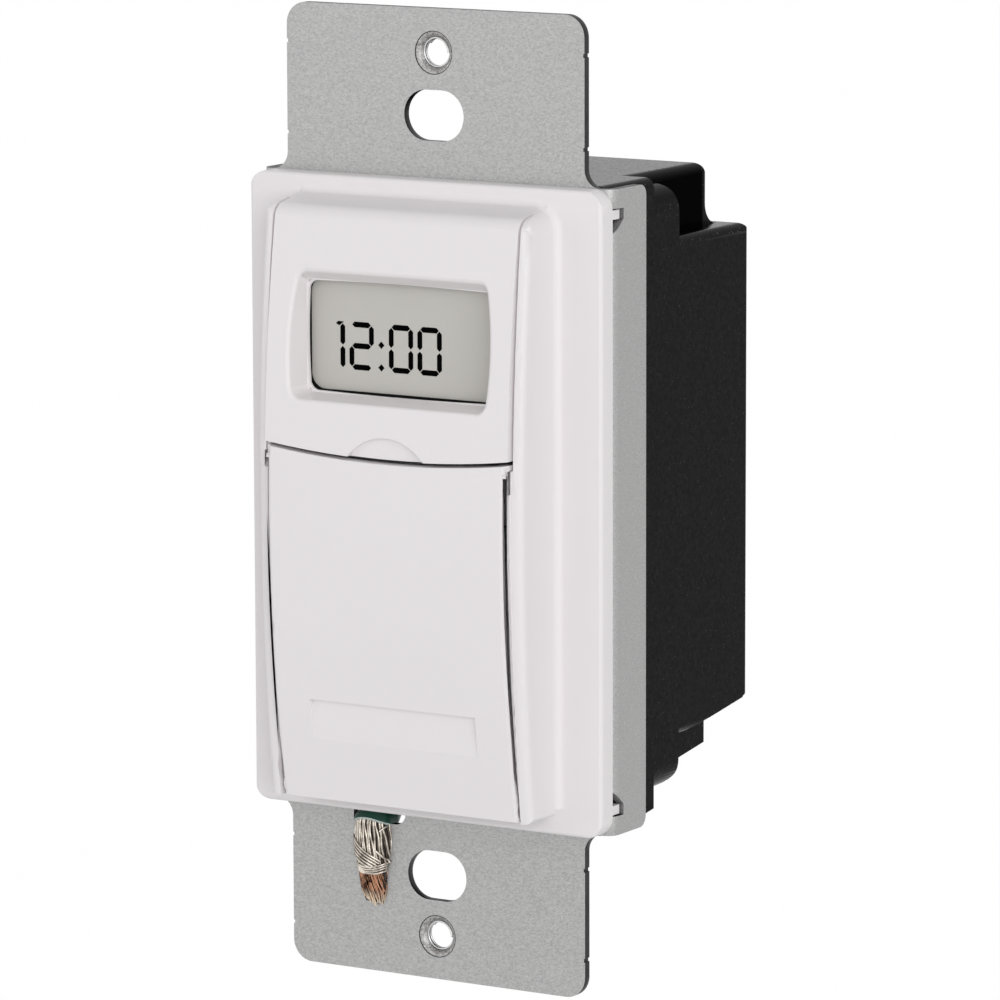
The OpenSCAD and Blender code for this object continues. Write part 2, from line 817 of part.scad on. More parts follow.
module door() color("white") {
    difference() {
        intersection() {
            arch(face_arch, y_face) door_section();
            plate(y_face - cut, y_strap) below_seam(door_x, door_bottom, seam_gap);
        }
        plate(y_face - cut, face_y(plate_z) + plate_d) translate([0, plate_z])
            square([plate_w, plate_h], center = true);
    }
    both_sides() {
        rod_x(y_hinge, hinge_z, door_x - knuckle_w, door_x, knuckle_r);
        rod_x(y_hinge, hinge_z, door_x - fit, rail_in + pin_reach - fit, pin_r);
        intersection() {
            bar_x(door_x - door_lip_w - fit, rail_in - lug_gap)
                span_rect(y_face, seam_z - lug_h, y_face + lug_d + door_edge, seam_z + lug_h);
            plate(y_face, y_strap) below_seam(rail_in, seam_z - lug_h / 2, seam_gap);
            arch(face_arch, y_face) span_rect(face_arch - skirt_d, -boss_w, face_arch - door_edge, boss_w);
        }
    }
    // Rib that presses the on-off plunger
    bar_x(-rib_w / 2, rib_w / 2)
        span_rect(y_face + door_t / 2, plunger_z - 1, plunger_front - press_gap, plunger_z + 1);
}

// Keypad deck, the carrier behind the door and the display

module key_outline(grow) {
    soft_rect(key_w + 2 * grow, key_h + 2 * grow, key_r);
}

module keypad_deck() color("gainsboro") {
    difference() {
        union() {
            plate(y_strap, y_deck_base) soft_rect(deck_base_w, deck_base_h, strap_window_r);
            plate(y_deck, y_strap) span_rect(-deck_x, deck_bottom, deck_x, deck_top);
        }
        // Hollow behind the raised deck
        plate(y_deck_back, y_deck_base + cut) span_rect(
            -deck_x + deck_wall, tray_bay_top + deck_wall, deck_x - deck_wall, deck_top - deck_wall);
        // Tray bay
        plate(y_deck - cut, y_deck_base + cut)
            span_rect(-tray_bay_x, tray_bay_bottom, tray_bay_x, tray_bay_top);
        // Display bay
        plate(y_strap - cut, y_deck_base + cut) translate([0, window_z])
            square([display_bay_w, display_bay_h], center = true);
        for (p = key_places) plate(y_deck - cut, y_deck_back + cut) translate(p) key_outline(key_gap);
        rod_y(0, plunger_z, y_deck - cut, y_deck_back + cut, plunger_r + key_gap);
    }
    // Posts that carry the control board
    both_sides() for (z = deck_post_zs) rod_y(deck_post_x, z, y_deck_base - fit, control_board_y, deck_post_r);
}

// Display

module lcd_glass() color("#b9bab1")
    plate(y_lcd, y_lcd_back) translate([0, window_z]) square([lcd_w, lcd_h], center = true);

module lcd_holder() color("dimgray") plate(y_lcd_back, control_board_y) translate([0, window_z]) difference() {
    square([lcd_w, lcd_h], center = true);
    square([lcd_w - 2 * holder_wall, lcd_h - 4 * zebra_inset + zebra_t], center = true);
    for (s = [-1, 1]) translate([0, s * (lcd_h / 2 - zebra_inset)])
        square([lcd_w - 4 * holder_wall + 2 * fit, zebra_t + 2 * fit], center = true);
}

module zebra_strips() color("pink") plate(y_lcd_back, control_board_y) translate([0, window_z])
    for (s = [-1, 1]) translate([0, s * (lcd_h / 2 - zebra_inset)])
        square([lcd_w - 4 * holder_wall, zebra_t], center = true);

// Control board and its parts

module control_board() color("darkgreen")
    plate(control_board_y, control_board_back)
        span_rect(-control_board_x, control_board_bottom, control_board_x, control_board_top);

module control_chips() color("#202020") {
    plate(control_board_back, control_board_back + chip_h) translate(chip_place) square(chip_size, center = true);
    plate(control_board_back, control_board_back + driver_t)
        translate(driver_place) square([driver_w, driver_h], center = true);
    rod_y(crystal_place[0], crystal_place[1], control_board_back, control_board_back + crystal_l, crystal_d / 2);
}

module key_switches() color("#303030") {
    for (p = concat(key_places, [[0, plunger_z]])) translate([p[0], 0, p[1]]) {
        plate(control_board_y - switch_h, control_board_y) square(switch_size, center = true);
        rod_y(0, 0, y_switch, control_board_y, switch_button_r);
    }
}

// One key: a cap in its hole, a flange behind the deck and a stem to its switch
module key_piece(place) {
    translate([place[0], 0, place[1]]) {
        plate(y_deck - key_proud, y_deck_back + fit) key_outline(0);
        plate(y_deck_back + fit, y_deck_back + fit + key_flange_t) key_outline(key_flange_w);
        rod_y(0, 0, y_deck_back, y_key_end, key_stem_r);
    }
}

module key_minus() color("slategray") key_piece(key_places[0]);
module key_mode() color("slategray") key_piece(key_places[1]);
module key_plus() color("slategray") key_piece(key_places[2]);
module key_day() color("slategray") key_piece(key_places[3]);
module key_enter() color("slategray") key_piece(key_places[4]);

module on_off_plunger() color("lightgray") {
    rod_y(0, plunger_z, plunger_front, y_key_end, plunger_r);
    rod_y(0, plunger_z, y_deck_back + fit, y_deck_back + fit + key_flange_t, plunger_r + key_flange_w);
}

// Battery, its tray and its contacts

module battery_tray() color("white") {
    difference() {
        union() {
            plate(y_deck + fit, y_deck_back) span_rect(
                -tray_bay_x + fit, tray_bay_bottom + fit, tray_bay_x - fit, tray_bay_top - fit);
            both_sides()
                rod_x(y_battery, battery_z, tray_rib_x, tray_rib_x + tray_rib_w, battery_d / 2 + tray_rib_t);
        }
        rod_x(y_battery, battery_z, -battery_l, battery_l, battery_d / 2 + fit);
        // Fingernail slot
        plate(y_deck, y_deck + fit + nail_d)
            translate([0, battery_z + nail_rise]) square([nail_w, nail_h], center = true);
        both_sides() plate(y_deck_back, y_battery + battery_d)
            span_rect(0, tray_bay_top - fit, battery_l, tray_bay_top + battery_d);
    }
}

module battery() color("goldenrod") {
    rod_x(y_battery, battery_z, -battery_l / 2, battery_l / 2 - battery_cap_h, battery_d / 2);
    rod_x(y_battery, battery_z, battery_l / 2 - battery_cap_h, battery_l / 2, battery_cap_r);
}

// One contact strip from the power board to an end of the battery
module contact_strip() {
    plate(contact_front, power_board_y)
        span_rect(battery_l / 2 + contact_gap, battery_z - contact_w / 2,
                  battery_l / 2 + contact_gap + contact_t, battery_z + contact_w / 2);
    plate(power_board_y - contact_t, power_board_y)
        span_rect(battery_l / 2 + contact_gap, battery_z - contact_w / 2,
                  battery_l / 2 + contact_gap + contact_foot, battery_z + contact_w / 2);
}

module contact_positive() color("gold") contact_strip();
module contact_negative() color("gold") mirror([1, 0, 0]) contact_strip();

// Power board and its parts

module board_connector() color("black") plate(control_board_back, power_board_y)
    translate([0, connector_z]) square([connector_w, connector_h], center = true);

module power_board() color("darkgreen")
    plate(power_board_y, power_board_back)
        span_rect(-power_board_x, power_board_bottom, power_board_x, power_board_top);

module relay() color("royalblue") plate(power_board_back, power_board_back + relay_d)
    translate(relay_place) soft_rect(relay_w, relay_h, 0.6);

module film_capacitor() color("firebrick") plate(power_board_back, power_board_back + film_d)
    translate(film_place) soft_rect(film_w, film_h, 0.8);

module electrolytic_capacitors() color("midnightblue")
    for (x = can_xs) rod_y(x, can_z, power_board_back, power_board_back + can_l, can_r);

module varistor() color("orange") {
    rod_x(power_board_back + disc_rise, disc_place[1],
          disc_place[0] - disc_t / 2, disc_place[0] + disc_t / 2, disc_d / 2);
    plate(power_board_back, power_board_back + disc_rise)
        translate(disc_place) square([disc_lead_t, disc_lead_w], center = true);
}

// Tabs for the three leads and for the ground lead
module wire_terminals() color("gold") {
    for (x = [-1, 0, 1] * inlet_pitch)
        plate(power_board_back, power_board_back + tab_l)
            translate([x, inlet_z]) square([tab_t, tab_w], center = true);
    plate(power_board_back, power_board_back + tab_t)
        translate([lead_x, earth_tab_z]) square([tab_w, earth_tab_h], center = true);
}

// Rear housing

// Underside line of a block, rising with the rake
function raked(z, y0, y) = z + (y - y0) * rake_rise;

// Front rim, drawn in Y and Z
module rim_side() {
    polygon([[0, rim_bottom], [rim_d, raked(rim_bottom, 0, rim_d)], [rim_d, rim_top], [0, rim_top]]);
}

// Front rim, drawn in X and Y, relieved for the inside of the strap's bends
module rim_plan() {
    polygon([
        [-housing_x + bend_relief, 0], [housing_x - bend_relief, 0], [housing_x, bend_relief],
        [housing_x, rim_d], [-housing_x, rim_d], [-housing_x, bend_relief]
    ]);
}

// Pillar step, with round rear corners
module pillar_side() {
    top = pillar_top - housing_edge;
    back = pillar_d - housing_edge;
    low = raked(pillar_bottom, rim_d, pillar_d) + housing_edge;
    polygon([
        [rim_d, pillar_bottom], [back, raked(pillar_bottom, rim_d, back)],
        [pillar_d, low], [pillar_d, top], [back, pillar_top], [rim_d, pillar_top]
    ]);
    translate([back, top]) circle(housing_edge);
    translate([back, low]) circle(housing_edge);
}

module box_side() {
    top = box_top - housing_edge;
    back = box_d - housing_edge;
    low = raked(box_bottom, pillar_d, box_d) + housing_edge;
    polygon([
        [pillar_d, box_bottom], [back, raked(box_bottom, pillar_d, back)],
        [box_d, low], [box_d, top], [back, box_top], [pillar_d, box_top]
    ]);
    translate([back, top]) circle(housing_edge);
    translate([back, low]) circle(housing_edge);
}

module core_side() {
    top = rim_top - housing_edge;
    back = core_d - housing_edge;
    polygon([
        [rim_d, core_bottom], [core_d, raked(core_bottom, rim_d, core_d)],
        [core_d, top], [back, rim_top], [rim_d, rim_top]
    ]);
    translate([back, top]) circle(housing_edge);
    translate([core_d, box_top]) fillet(ledge_r);
}

// Outline in X and Z with round corners between two heights
module soft_span(half_w, z0, z1, r) {
    translate([0, (z0 + z1) / 2]) soft_rect(2 * half_w, z1 - z0, r);
}

module housing_outer() {
    intersection() {
        bar_x(-housing_x, housing_x) rim_side();
        post_z(rim_bottom, rim_top) rim_plan();
        plate(0, rim_d) soft_span(housing_x, rim_bottom, rim_top, housing_edge);
    }
    intersection() {
        bar_x(-housing_x, housing_x) pillar_side();
        plate(rim_d, pillar_d) soft_span(housing_x, pillar_bottom, pillar_top, pillar_r);
    }
    intersection() {
        bar_x(-housing_x, housing_x) box_side();
        plate(pillar_d, box_d) soft_span(housing_x, box_bottom, box_top, housing_edge);
        post_z(box_bottom, box_top) translate([0, box_d / 2]) union() {
            soft_rect(2 * housing_x, box_d, back_edge);
            span_rect(-housing_x, -box_d / 2, housing_x, 0);
        }
    }
    intersection() {
        bar_x(-core_x, core_x) core_side();
        plate(rim_d, box_d) soft_span(core_x, core_bottom, rim_top, housing_edge);
    }
    for (x = [-1, 0, 1] * inlet_pitch)
        rod_y(x, inlet_z, box_d - cut, box_d + collar_rise, inlet_d / 2 + collar_wall);
}

module housing_hollow() {
    low = core_bottom + housing_wall;
    plate(-cut, pillar_d - housing_wall)
        span_rect(-cavity_box_x, pillar_bottom + housing_wall, cavity_box_x, pillar_top - pillar_r);
    back = core_d - housing_wall;
    bar_x(-cavity_core_x, cavity_core_x) polygon([
        [-cut, low], [rim_d, low], [back, raked(low, rim_d, back)],
        [back, rim_top - housing_wall], [-cut, rim_top - housing_wall]
    ]);
    plate(-cut, box_d - housing_wall) span_rect(
        -cavity_box_x, raked(box_bottom, pillar_d, box_d) + housing_wall, cavity_box_x, box_top - housing_wall);
}

module rear_housing() color("#1c1c1e") difference() {
    union() {
        difference() {
            housing_outer();
            housing_hollow();
        }
        // Bosses for the housing screws
        four_corners() rod_y(screw_x, screw_z - screw_inset, y_deck_base + fit, screw_l + screw_end, screw_boss_r);
        // Ribs that carry the power board
        both_sides() for (z = rib_zs) plate(power_board_back, box_d - fit)
            span_rect(cavity_box_x - rib_x, z - rib_h / 2, cavity_box_x + fit, z + rib_h / 2);
    }
    four_corners() rod_y(screw_x, screw_z, -cut, screw_l + fit, screw_d / 2 + 0.05);
    for (x = [-1, 0, 1] * inlet_pitch)
        rod_y(x, inlet_z, box_d - housing_wall - cut, box_d + collar_rise + cut, inlet_d / 2);
    // Recess in the rim for the ground lead, and its trench across the floor
    plate(-cut, recess_d) span_rect(lead_x - recess_w / 2, rim_bottom - cut, lead_x + recess_w / 2, recess_top);
    bar_x(lead_x - lead_d / 2 - fit, lead_x + lead_d / 2 + fit) polygon(concat(
        [for (p = lead_route) if (p[0] > recess_d - 2 && p[0] < trench_d) [p[0], p[1] - trench_rise]],
        [[trench_d, raked(core_bottom, rim_d, trench_d) + housing_wall], [trench_d, trench_top]],
        [[recess_d - 2, trench_top]]
    ));
}

module housing_screws() color("silver") four_corners() {
    rod_y(screw_x, screw_z, y_strap - screw_head_h, y_strap, screw_head_d / 2);
    rod_y(screw_x, screw_z, y_strap - fit, screw_l - strap_t, screw_d / 2);
}

// Ground lead and its welded strands

// Ring of the lead at a point of its route, square to the direction of travel
function lead_dir(i) =
    let (a = lead_route[max(i - 1, 0)], b = lead_route[min(i + 1, len(lead_route) - 1)], d = b - a)
    d / norm(d);
function lead_ring(i) = [
    for (k = [0:lead_sides - 1])
        let (turn = 360 * k / lead_sides, u = lead_d / 2 * cos(turn), v = lead_d / 2 * sin(turn))
        [lead_x + u, lead_route[i][0] - v * lead_dir(i)[1], lead_route[i][1] + v * lead_dir(i)[0]]
];

module ground_lead() color("seagreen") {
    last = len(lead_route) - 1;
    points = [for (i = [0:last]) each lead_ring(i)];
    faces = concat(
        [[for (k = [0:lead_sides - 1]) k]],
        [for (i = [0:last - 1], k = [0:lead_sides - 1])
            let (a = i * lead_sides + k, b = i * lead_sides + (k + 1) % lead_sides)
            [a, a + lead_sides, b + lead_sides, b]],
        [[for (k = [lead_sides - 1:-1:0]) last * lead_sides + k]]
    );
    polyhedron(points, faces);
}

// Section of a flattened bundle: x is its height above the strap, y runs along X
module bundle_section(width, thick) {
    r = (pow(width / 2, 2) + pow(thick, 2)) / (2 * thick);
    intersection() {
        translate([thick - r, 0]) circle(r);
        span_rect(0, -width, width, width);
    }
}

// The strands leave the lead, pass over the notch's lower edge and lie welded on the ear
module ground_strands() color("tan") {
    plate(y_strap, lead_route[0][0]) translate([lead_x, notch_bottom]) rotate(90)
        bundle_section(strand_w, strand_t);
    translate([lead_x, y_strap, notch_bottom]) rotate([0, 90, 0]) rotate([0, 0, 180])
        rotate_extrude(angle = 90) bundle_section(strand_w, strand_t);
    post_z(strand_bottom, notch_bottom) translate([lead_x, y_strap]) rotate(-90)
        bundle_section(strand_w, strand_t);
    post_z(tail_bottom, strand_bottom) translate([lead_x, y_strap]) rotate(-90)
        bundle_section(tail_w, tail_t);
}

mounting_strap();
front_bezel();
keypad_deck();
door();
lcd_glass();
lcd_holder();
zebra_strips();
control_board();
control_chips();
key_switches();
key_mode();
key_day();
key_plus();
key_minus();
key_enter();
on_off_plunger();
battery_tray();
battery();
contact_positive();
contact_negative();
board_connector();
power_board();
relay();
film_capacitor();
electrolytic_capacitors();
varistor();
wire_terminals();
rear_housing();
housing_screws();
ground_lead();
ground_strands();
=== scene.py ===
import math
import random

import bmesh
import bpy
from mathutils import Matrix, Vector


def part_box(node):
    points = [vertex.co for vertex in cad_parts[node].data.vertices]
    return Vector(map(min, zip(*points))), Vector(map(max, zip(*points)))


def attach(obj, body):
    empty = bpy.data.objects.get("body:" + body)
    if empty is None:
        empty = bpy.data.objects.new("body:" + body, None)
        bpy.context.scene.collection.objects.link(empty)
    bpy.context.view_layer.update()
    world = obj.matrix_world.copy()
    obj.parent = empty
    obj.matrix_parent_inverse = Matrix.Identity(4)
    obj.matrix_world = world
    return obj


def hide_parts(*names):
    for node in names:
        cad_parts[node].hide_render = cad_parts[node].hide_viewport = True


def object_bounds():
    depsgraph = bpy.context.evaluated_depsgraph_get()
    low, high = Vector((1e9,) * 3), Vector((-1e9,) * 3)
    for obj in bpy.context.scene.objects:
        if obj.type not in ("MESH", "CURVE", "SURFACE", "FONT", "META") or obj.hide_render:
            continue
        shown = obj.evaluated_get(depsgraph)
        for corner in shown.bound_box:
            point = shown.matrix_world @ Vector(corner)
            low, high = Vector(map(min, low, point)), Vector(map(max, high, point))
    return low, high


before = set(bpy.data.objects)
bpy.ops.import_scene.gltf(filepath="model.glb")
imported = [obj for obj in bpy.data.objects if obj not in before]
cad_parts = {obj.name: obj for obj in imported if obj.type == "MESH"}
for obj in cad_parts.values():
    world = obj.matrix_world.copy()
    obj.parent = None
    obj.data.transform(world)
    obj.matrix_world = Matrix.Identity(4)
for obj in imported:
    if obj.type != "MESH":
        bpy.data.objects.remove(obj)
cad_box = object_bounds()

MM = 0.001
HOUSING_BODY = "switch_body"

# Sizes are in millimetres, in the part's frame

# Strap and its two wall-plate screw holes
STRAP_FRONT = -1.0
PLATE_HOLE_Z = 48.42
PLATE_BORE_R = 1.45
BORE_REACH = 1.6
COLLAR_REACH = 3.0
COLLAR_SHARE = 0.4
THREAD_ROOT_R = 1.66
THREAD_R = 1.57
THREAD_PITCH = 0.42
THREAD_TURNS = 2.4
HOLE_RIM_R = 2.32
LEAD_IN_R = 2.4
BEND_INSET = 1.6

# Display window, its dish and the arched face round it
WINDOW_CENTRE = 18.0
WINDOW_HALF = (11.95, 6.15)
WINDOW_BACK = -7.3
WINDOW_WALL = 0.5
WINDOW_ROUND = 1.05
WINDOW_BOW = (0.27, 0.178)
DISH_LIMIT = (14.7, 9.6)
DISH_RIM_DEPTH = 0.04
DISH_ROUND = 0.42
DISH_BOW = 0.5
DISH_BOW_DEPTH = 0.6
DISH_BOW_START = 7.5
DISH_BOW_FULL = 12.6
DISH_LOOP_STEP = 1.1
FACE_FRONT = -11.3
FACE_ARCH = 195.0

# Polished zone at the top of the housing
POLISH_INSET = 0.2
POLISH_Z = 26.5
POLISH_DEPTH = 25.9
POLISH_FADE = 0.4

# Door's lips and skirts, and the rail beside them
LOOP_GAP = 0.04
DOOR_MIDDLE_Z = -10.0
DOOR_MIDDLE_HALF = 9.0
DOOR_GAP = 0.4
LIP_TOP = 5.2
LIP_SKIN = 0.53
LIP_ROUND = 0.52
LIP_REACH = 2.0
LIP_DRAW = 0.25
LIP_TAPER = (10.0, 24.0)
SKIRT_LOW = -28.5
SKIRT_HOLD = 1.95
SKIRT_REACH = 4.0
SKIRT_DRAW = 0.6
RAIL_TOP = 3.8
RAIL_LOW = -29.0
RAIL_BACK = -7.0
RAIL_HOLD = 0.1
RAIL_REACH = 2.0
RAIL_DRAW = 0.26

# Ground lead: its place across, and its route as depth and height
LEAD_X = -8.2
LEAD_R = 1.9
NOTCH_FRONT = 0.6
NOTCH_BOTTOM = -36.5
LEAD_ROUTE = [
    (0.55, -36.7), (1.4, -35.6), (2.3, -34.45), (3.4, -33.2), (4.9, -31.95),
    (6.6, -30.9), (8.4, -30.0), (10.2, -29.0), (11.8, -27.8), (13.3, -26.3),
    (14.8, -25.1), (16.3, -24.0), (17.5, -22.7), (18.0, -21.2), (18.0, -19.8)]

# Bundle of strands and the insulation's end over it, by the run along the bundle
BEND_START = 1.6
BEND_END = 2.8
TAIL_START = 8.1
TAIL_END = 12.2
HOOD_HALF = 2.3
HOOD_RISE = 1.78
HOOD_WALL = 0.4
HOOD_ROWS = 27
HOOD_STEP = 0.1
HOOD_ARCH = 0.06

# Raised marks on the keys, and the display's digits
MARK_RAISE = 0.06
MARK_ROOT = 0.1
SEGMENT_WIDTH = 0.60
SEGMENT_GAP = 0.07
DIGIT_BOTTOM = 14.72
DIGIT_TOP = 19.34
INK_DEPTH = 0.02

# Polished black: its colour, its reflection levels (a painted sheen on up-facing faces, painted shade on the
# sides), and the upward part of a face's normal
POLISHED_BLACK = 0.0006
PLAIN_REFLECTION = 0.5
SIDE_SHADE_REFLECTION = 0.04
FACING_UP = 0.7
FACING_ACROSS = 0.1

# Finishes of a strap face, by index
SHEET = 0
SHEARED = 1
LEAD_IN = 2


# Shader node helpers

def link_up(tree, source, socket, target, name):
    tree.links.new(source.outputs[socket], target.inputs[name])


def new_node(tree, kind, values=None, group=None):
    """A node of a kind, with a node group and values of its inputs where they are given."""
    node = tree.nodes.new(kind)
    if group:
        node.node_tree = group
    for label, value in (values or {}).items():
        node.inputs[label].default_value = value
    return node


def blank_tree(owner):
    """The emptied node tree of a material or a world."""
    owner.use_nodes = True
    owner.node_tree.nodes.clear()
    return owner.node_tree


def make_group(name, inputs, outputs):
    """An empty shader node group with float inputs and float outputs."""
    tree = bpy.data.node_groups.new(name, "ShaderNodeTree")
    for way, labels in (("INPUT", inputs), ("OUTPUT", outputs)):
        for label in labels:
            tree.interface.new_socket(label, in_out=way, socket_type="NodeSocketFloat")
    return tree, tree.nodes.new("NodeGroupInput"), tree.nodes.new("NodeGroupOutput")


def math_of(tree, operation, first, second=None, clamp=False):
    """The result of a math node; each of its inputs is a number or another node's socket."""
    node = tree.nodes.new("ShaderNodeMath")
    node.operation = operation
    node.use_clamp = clamp
    for index, value in enumerate((first, second)):
        if isinstance(value, float):
            node.inputs[index].default_value = value
        elif value is not None:
            tree.links.new(value, node.inputs[index])
    return node.outputs[0]


def split_axes(tree, output):
    """X, Y and Z of the part's coordinates, or of its normals."""
    place = tree.nodes.new("ShaderNodeTexCoord")
    axes = tree.nodes.new("ShaderNodeSeparateXYZ")
    link_up(tree, place, output, axes, "Vector")
    return axes.outputs


def build_grain_group():
    """Fine moulded or rolled grain: a height for bump and a slower tone for colour."""
    inputs = ["Grain scale", "Tone scale", "Tone contrast", "Streak"]
    tree, given, result = make_group("surface_grain", inputs, ["Height", "Tone"])
    coords = tree.nodes.new("ShaderNodeTexCoord")
    drawn = new_node(tree, "ShaderNodeCombineXYZ", {"Y": 1.0, "Z": 1.0})
    link_up(tree, given, "Streak", drawn, "X")
    along = tree.nodes.new("ShaderNodeVectorMath")
    along.operation = "MULTIPLY"
    tree.links.new(coords.outputs["Object"], along.inputs[0])
    tree.links.new(drawn.outputs["Vector"], along.inputs[1])
    fine = new_node(tree, "ShaderNodeTexNoise", {"Detail": 3.0})
    slow = new_node(tree, "ShaderNodeTexNoise", {"Detail": 4.0, "Roughness": 0.6})
    for noise, label in ((fine, "Grain scale"), (slow, "Tone scale")):
        link_up(tree, along, "Vector", noise, "Vector")
        link_up(tree, given, label, noise, "Scale")
    centred = math_of(tree, "SUBTRACT", slow.outputs["Fac"], 0.5)
    spread = math_of(tree, "MULTIPLY", centred, given.outputs["Tone contrast"])
    link_up(tree, fine, "Fac", result, "Height")
    tree.links.new(math_of(tree, "ADD", spread, 0.5, clamp=True), result.inputs["Tone"])
    return tree


def build_speck_group():
    """Sparse small specks, such as dust on plastic or zinc crystals on steel."""
    tree, given, result = make_group("fine_specks", ["Scale", "Size", "Share"], ["Mask"])
    coords = tree.nodes.new("ShaderNodeTexCoord")
    cells = tree.nodes.new("ShaderNodeTexVoronoi")
    link_up(tree, coords, "Object", cells, "Vector")
    link_up(tree, given, "Scale", cells, "Scale")
    near = math_of(tree, "LESS_THAN", cells.outputs["Distance"], given.outputs["Size"])
    pick = tree.nodes.new("ShaderNodeSeparateColor")
    link_up(tree, cells, "Color", pick, "Color")
    chosen = math_of(tree, "LESS_THAN", pick.outputs["Red"], given.outputs["Share"])
    tree.links.new(math_of(tree, "MULTIPLY", near, chosen), result.inputs["Mask"])
    return tree


GRAIN = build_grain_group()
SPECKS = build_speck_group()


def colour_mix(tree, factor, low, high):
    """A colour between low and high; each is a colour, a number for a grey, or another node's socket."""
    node = tree.nodes.new("ShaderNodeMix")
    node.data_type = "RGBA"
    tree.links.new(factor, node.inputs["Factor"])
    slots = [s for s in node.inputs if s.type == "RGBA"]
    for socket, value in zip(slots, (low, high)):
        if isinstance(value, tuple):
            socket.default_value = (*value, 1.0)
        elif isinstance(value, float):
            socket.default_value = (value, value, value, 1.0)
        else:
            tree.links.new(value, socket)
    return [s for s in node.outputs if s.type == "RGBA"][0]


def value_mix(tree, factor, low, high):
    """A value between low and high, by a factor from 0 to 1."""
    node = new_node(tree, "ShaderNodeMapRange", {"To Min": low, "To Max": high})
    tree.links.new(factor, node.inputs["Value"])
    return node.outputs["Result"]


def ramp(tree, value, start, end):
    """A share that goes from 0 at start to 1 at end."""
    node = new_node(tree, "ShaderNodeMapRange", {"From Min": start, "From Max": end})
    tree.links.new(value, node.inputs["Value"])
    return node.outputs["Result"]


def polished_zone_and_painted_sheen(tree, half_width, height, depth):
    """Where a textured moulding is polished: inside a half width, above a height and before a depth.

    The second value is the reflection level, a painted sheen: in that zone only what faces up reflects,
    and what faces aside barely reflects, as painted shade.
    """
    place = split_axes(tree, "Object")
    facing = split_axes(tree, "Normal")
    across = math_of(tree, "ABSOLUTE", place["X"])
    inner = ramp(tree, across, half_width, half_width - POLISH_FADE * MM)
    high = ramp(tree, place["Z"], height, height + 2 * POLISH_FADE * MM)
    before = ramp(tree, place["Y"], depth, depth - POLISH_FADE * MM)
    zone = math_of(tree, "MULTIPLY", math_of(tree, "MULTIPLY", inner, high), before)
    # Faces that turn aside in the zone barely reflect: painted shade on the sides, painted sheen on the tops
    not_up = ramp(tree, facing["Z"], FACING_UP, FACING_ACROSS)
    shaded_sides = math_of(tree, "MULTIPLY", zone, not_up)
    return zone, value_mix(tree, shaded_sides, PLAIN_REFLECTION, SIDE_SHADE_REFLECTION)


def make_finish(name, low, high, rough, metallic=0.0, ior=1.45, coat=0.0,
                grain=(2500.0, 0.00001, 0.2), tone=(60.0, 1.5), specks=None, fade=None, streak=1.0,
                polish=None):
    """A surface with grain in its bump, a slow tone in its colour and roughness, and optional specks.

    grain is (scale, depth in metres, strength), tone is (scale, contrast),
    specks is (scale, size, share, colour), fade is (start height, end height, colour) in metres,
    streak below 1 draws the grain out across the part, polish is (half width, height, depth) in metres;
    there the colour turns polished black, and a painted sheen lets only up-facing faces reflect.
    """
    material = bpy.data.materials.new(name)
    tree = blank_tree(material)
    surface = new_node(tree, "ShaderNodeBsdfPrincipled", {"Metallic": metallic, "IOR": ior})
    output = tree.nodes.new("ShaderNodeOutputMaterial")
    link_up(tree, surface, "BSDF", output, "Surface")
    if coat:
        surface.inputs["Coat Weight"].default_value = coat
        surface.inputs["Coat Roughness"].default_value = 0.12
    pattern = {
        "Grain scale": grain[0], "Tone scale": tone[0], "Tone contrast": tone[1], "Streak": streak}
    texture = new_node(tree, "ShaderNodeGroup", pattern, GRAIN)
    colour = colour_mix(tree, texture.outputs["Tone"], low, high)
    if specks:
        spread = {"Scale": specks[0], "Size": specks[1], "Share": specks[2]}
        dots = new_node(tree, "ShaderNodeGroup", spread, SPECKS)
        colour = colour_mix(tree, dots.outputs["Mask"], colour, specks[3])
    if fade:
        share = ramp(tree, split_axes(tree, "Object")["Z"], fade[0], fade[1])
        colour = colour_mix(tree, share, colour, fade[2])
    # Polished zone: polished black colour, with a reflection level that is a painted sheen on up-facing
    # faces only
    if polish:
        zone, level = polished_zone_and_painted_sheen(tree, *polish)
        colour = colour_mix(tree, zone, colour, POLISHED_BLACK)
        tree.links.new(level, surface.inputs["Specular IOR Level"])
    tree.links.new(colour, surface.inputs["Base Color"])
    tree.links.new(value_mix(tree, texture.outputs["Tone"], *rough), surface.inputs["Roughness"])
    bump = new_node(tree, "ShaderNodeBump", {"Strength": grain[2], "Distance": grain[1]})
    link_up(tree, texture, "Height", bump, "Height")
    link_up(tree, bump, "Normal", surface, "Normal")
    return material


HOUSING_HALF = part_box("rear_housing")[1][0]
POLISHED_ZONE = (HOUSING_HALF - POLISH_INSET * MM, POLISH_Z * MM, POLISH_DEPTH * MM)

